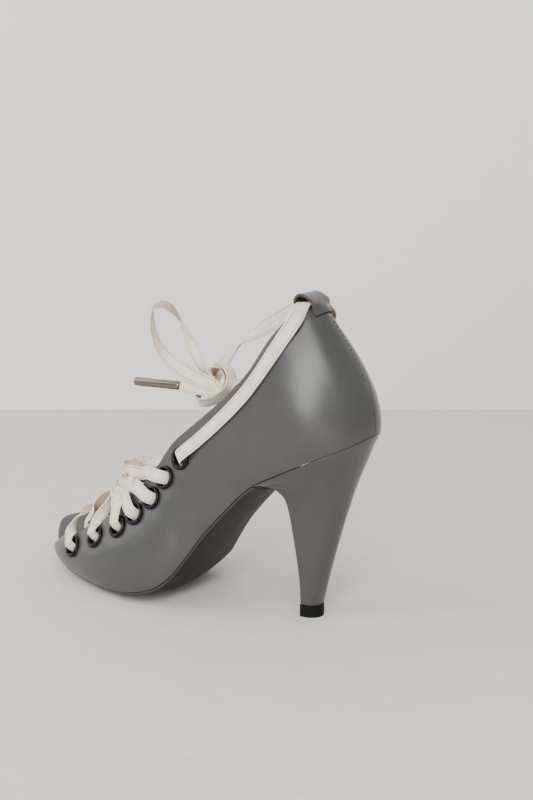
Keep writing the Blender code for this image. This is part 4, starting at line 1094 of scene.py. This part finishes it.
# Keeper and stitching
def counter_point(x, depth, offset):
    """Point beside the counter at this distance from the middle and below the edge."""
    low, high = BACK_STATION - 2.0, BACK_STATION + 2.0
    for _ in range(16):
        position = (low + high) / 2
        height = height_below_edge(position, depth)
        if wall_point(position, height)[0] > x:
            low = position
        else:
            high = position
    normal = wall_normal(position, height)
    level = math.hypot(normal[1], normal[2])
    return wall_point(position, height) + normal * offset / level ** 2


def make_keeper():
    """Leather loop over the laces, with its raw edges showing."""
    crown = wall_point(BACK_STATION, 1.0)
    half = KEEPER_THICKNESS / 2
    width_steps, length_steps = 16, 72
    columns = []
    for step in range(width_steps + 1):
        x = KEEPER_WIDTH * (step / width_steps - 0.5)
        path = [counter_point(x, share * KEEPER_LEG, GAP + half) for share in (1.0, 0.45)]
        for inwards, rise in KEEPER_ARCH:
            path.append(np.array([0.0, crown[1] - inwards * KEEPER_REACH, crown[2] + rise * KEEPER_RISE]))
        for share in (0.9, 1.5):
            path.append(counter_point(x, share * KEEPER_LEG, -(WALL + 2 * GAP + half)))
        path = [np.array([x, point[1], point[2]]) for point in path]
        smooth = [spline(path, (len(path) - 1) * index / length_steps) for index in range(length_steps + 1)]
        outer, inner = [], []
        for index, point in enumerate(smooth):
            run = smooth[min(index + 1, length_steps)] - smooth[max(index - 1, 0)]
            normal = unit((0.0, -run[2], run[1])) * half
            outer.append(point - normal)
            inner.append(point + normal)
        columns.append((outer, inner))
    over, under = zip(*columns)
    made = slab("keeper_loop", over, under, [GREY, RAW_EDGE], (0, 1, 1, 1))
    return finish_piece(made, "grey_leather", "keeper")


def stitch_row(name, path, normals, stitch, gap, radius, sink=0.3):
    """Row of short thread stitches along a path, one joined mesh."""
    lengths = np.concatenate([[0.0], np.cumsum(np.linalg.norm(np.diff(path, axis=0), axis=1))])

    def read(values, distance):
        return np.array([np.interp(distance, lengths, values[:, axis]) for axis in range(3)])

    points, faces = [], []
    rings, sides = 5, 6
    for number in range(int(lengths[-1] // (stitch + gap))):
        start = number * (stitch + gap)
        middle = start + stitch / 2
        here, normal = read(path, middle), unit(read(normals, middle))
        run = unit(read(path, start + stitch) - read(path, start))
        side = np.cross(run, normal)
        faces += skin(rings, sides, start=len(points)) + caps(rings, sides, len(points))
        for ring in range(rings):
            share = ring / (rings - 1)
            swell = math.sin(math.pi * (0.12 + 0.76 * share))
            centre = here + run * stitch * (share - 0.5) + normal * radius * (swell - 1 + sink)
            for k in range(sides):
                angle = 2 * math.pi * k / sides
                points.append(centre + (side * math.cos(angle) + normal * math.sin(angle)) * radius * swell)
    made = turn_outwards(make_object(name, points, faces, [THREAD]))
    return finish_piece(made, "grey_leather")


def wall_line(spots):
    """Points and normals of the outer face at (station, height) pairs."""
    return np.array([wall_point(*spot) for spot in spots]), np.array([wall_normal(*spot) for spot in spots])


def smooth_spots(rows, count):
    """Many (station, height) pairs along a few."""
    stations, heights = np.transpose(rows)
    levels = np.linspace(heights[0], heights[-1], count)
    return list(zip(np.interp(levels, heights, stations), levels))


def seam_line(name, path, normals, radius):
    """Thin dark line of a closed seam, sunk in the leather."""
    sides, rows = 6, []
    for index, (point, normal) in enumerate(zip(path, normals)):
        run = unit(path[min(index + 1, len(path) - 1)] - path[max(index - 1, 0)])
        side = np.cross(run, normal)
        rows.append([point + (side * math.cos(angle) * 1.3 + normal * (math.sin(angle) - 0.55)) * radius
                     for angle in np.linspace(0, 2 * math.pi, sides, endpoint=False)])
    made = loft(name, rows, [THREAD])
    return finish_piece(made, "grey_leather")


def make_stitching():
    """The closed back seam and its needle row, and the rows under the collar's edge."""
    seam_line("back_seam_line", *wall_line(smooth_spots(BACK_SEAM, 60)), 0.00022)
    stitch_row("back_needle_row", *wall_line(smooth_spots(NEEDLE_ROW, 40)), 0.0013, 0.0014, 0.00030, 0.2)
    for side, sign in (("lateral", -1), ("medial", 1)):
        spots = []
        for t in np.linspace(0, 1, 40):
            position = BACK_STATION + sign * (0.45 + 1.5 * t)
            spots.append((position, height_below_edge(position, 0.0030)))
        stitch_row(f"collar_stitches_{side}", *wall_line(spots), 0.0016, 0.0010, 0.00028)


# Camera, floor and light
def make_camera():
    data = bpy.data.cameras.new("photo_camera")
    data.lens = CAMERA_LENS
    data.sensor_width = SENSOR_WIDTH
    data.clip_start = 0.01
    camera = bpy.data.objects.new("photo_camera", data)
    bpy.context.collection.objects.link(camera)
    camera.location = CAMERA_PLACE
    camera.rotation_euler = Vector(VIEW).to_track_quat("-Z", "Y").to_euler()
    bpy.context.scene.camera = camera


def stage_plane(name, corners, finish):
    mesh = bpy.data.meshes.new(name)
    mesh.from_pydata(corners, [], [(0, 1, 2, 3)])
    mesh.materials.append(finish)
    made = bpy.data.objects.new(name, mesh)
    bpy.context.collection.objects.link(made)


def cloth_floor():
    """Pale linen floor: a fine weave with soft slubs."""
    made = Finish("linen_floor", {"Roughness": 0.9})
    stretch = made.node("Mapping")
    stretch.inputs["Rotation"].default_value = (0.0, 0.0, math.atan2(CAMERA_HEADING[1], CAMERA_HEADING[0]))
    stretch.inputs["Scale"].default_value = (9.0, 1.0, 1.0)
    made.link(made.place, stretch.inputs["Vector"])
    made.place = stretch.outputs[0]
    slub = made.texture("Noise", Scale=30.0, Detail=8.0, Roughness=0.7)
    colours = made.ramp(slub, [(0.3, (0.650, 0.622, 0.580)), (0.7, (0.735, 0.705, 0.660))])
    made.link(colours, made.shader.inputs["Base Color"])
    made.bump(slub, 0.25, 0.001)
    return made.material


def backdrop_paint():
    """Pale wall whose back is clear, so that a view from behind it also shows the shoe."""
    made = Finish("backdrop_paint", {"Roughness": 0.9})
    clouds = made.texture("Noise", Scale=3.0, Detail=3.0)
    colours = made.ramp(clouds, [(0.3, (0.893, 0.875, 0.845)), (0.7, (0.907, 0.889, 0.859))])
    made.link(colours, made.shader.inputs["Base Color"])
    either = made.node("MixShader")
    made.link(made.node("NewGeometry").outputs["Backfacing"], either.inputs[0])
    made.link(made.shader.outputs[0], either.inputs[1])
    made.link(made.node("BsdfTransparent").outputs[0], either.inputs[2])
    output = next(node for node in made.nodes if node.type == "OUTPUT_MATERIAL")
    made.link(either.outputs[0], output.inputs["Surface"])
    return made.material


def make_stage():
    """Floor round the shoe, and the wall where the photograph has it."""
    forward = Vector((*CAMERA_HEADING, 0.0)).normalized()
    sideways = Vector((-forward.y, forward.x, 0.0)) * STAGE_HALF_WIDTH
    camera = Vector((*CAMERA_PLACE[:2], 0.0))
    wall = camera + forward * WALL_DISTANCE
    near, end = camera - forward * FLOOR_BEFORE_CAMERA, wall + forward * FLOOR_BEHIND_WALL
    up = Vector((0.0, 0.0, WALL_HEIGHT))
    floor = [near - sideways, near + sideways, end + sideways, end - sideways]
    backdrop = [wall + sideways, wall - sideways, wall - sideways + up, wall + sideways + up]
    stage_plane("floor", floor, cloth_floor())
    stage_plane("backdrop", backdrop, backdrop_paint())


def area_light(name, location, target, along, size, power, colour=(1.0, 1.0, 1.0)):
    """Rectangular soft light that looks at a target, its first size lying along a direction."""
    data = bpy.data.lights.new(name, "AREA")
    data.shape = "RECTANGLE"
    data.size, data.size_y = size
    data.energy = power
    data.color = colour
    light = bpy.data.objects.new(name, data)
    bpy.context.collection.objects.link(light)
    back = (Vector(location) - Vector(target)).normalized()
    across = (Vector(along) - back * back.dot(Vector(along))).normalized()
    turn = Matrix((across, back.cross(across), back)).transposed().to_4x4()
    light.matrix_world = Matrix.Translation(location) @ turn


def make_lights():
    world = bpy.data.worlds.new("studio")
    world.use_nodes = True
    background = world.node_tree.nodes["Background"]
    background.inputs["Color"].default_value = (1.0, 0.985, 0.965, 1.0)
    background.inputs["Strength"].default_value = 0.72
    bpy.context.scene.world = world
    area_light("window", (1.06, 0.36, 0.70), (0.02, 0.0, 0.12), (-0.88, 0.72, 1.10), (1.60, 0.34), 21.0,
               (1.0, 0.99, 0.97))
    area_light("fill", (0.75, -1.15, 1.05), (0.0, -0.05, 0.05), (1.0, 0.65, 0.0), (1.5, 1.5), 19.0)


def dress_lift():
    """The CAD lift stays as it is, with a rubber finish in its own slots."""
    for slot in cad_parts["top_lift"].material_slots:
        slot.material = RUBBER


make_camera()
make_free_laces()
make_upper()
make_vamp()
make_outsole()
make_insole()
make_heel()
make_eyelets()
make_crossings()
make_side_laces()
make_keeper()
make_stitching()
dress_lift()
make_stage()
make_lights()
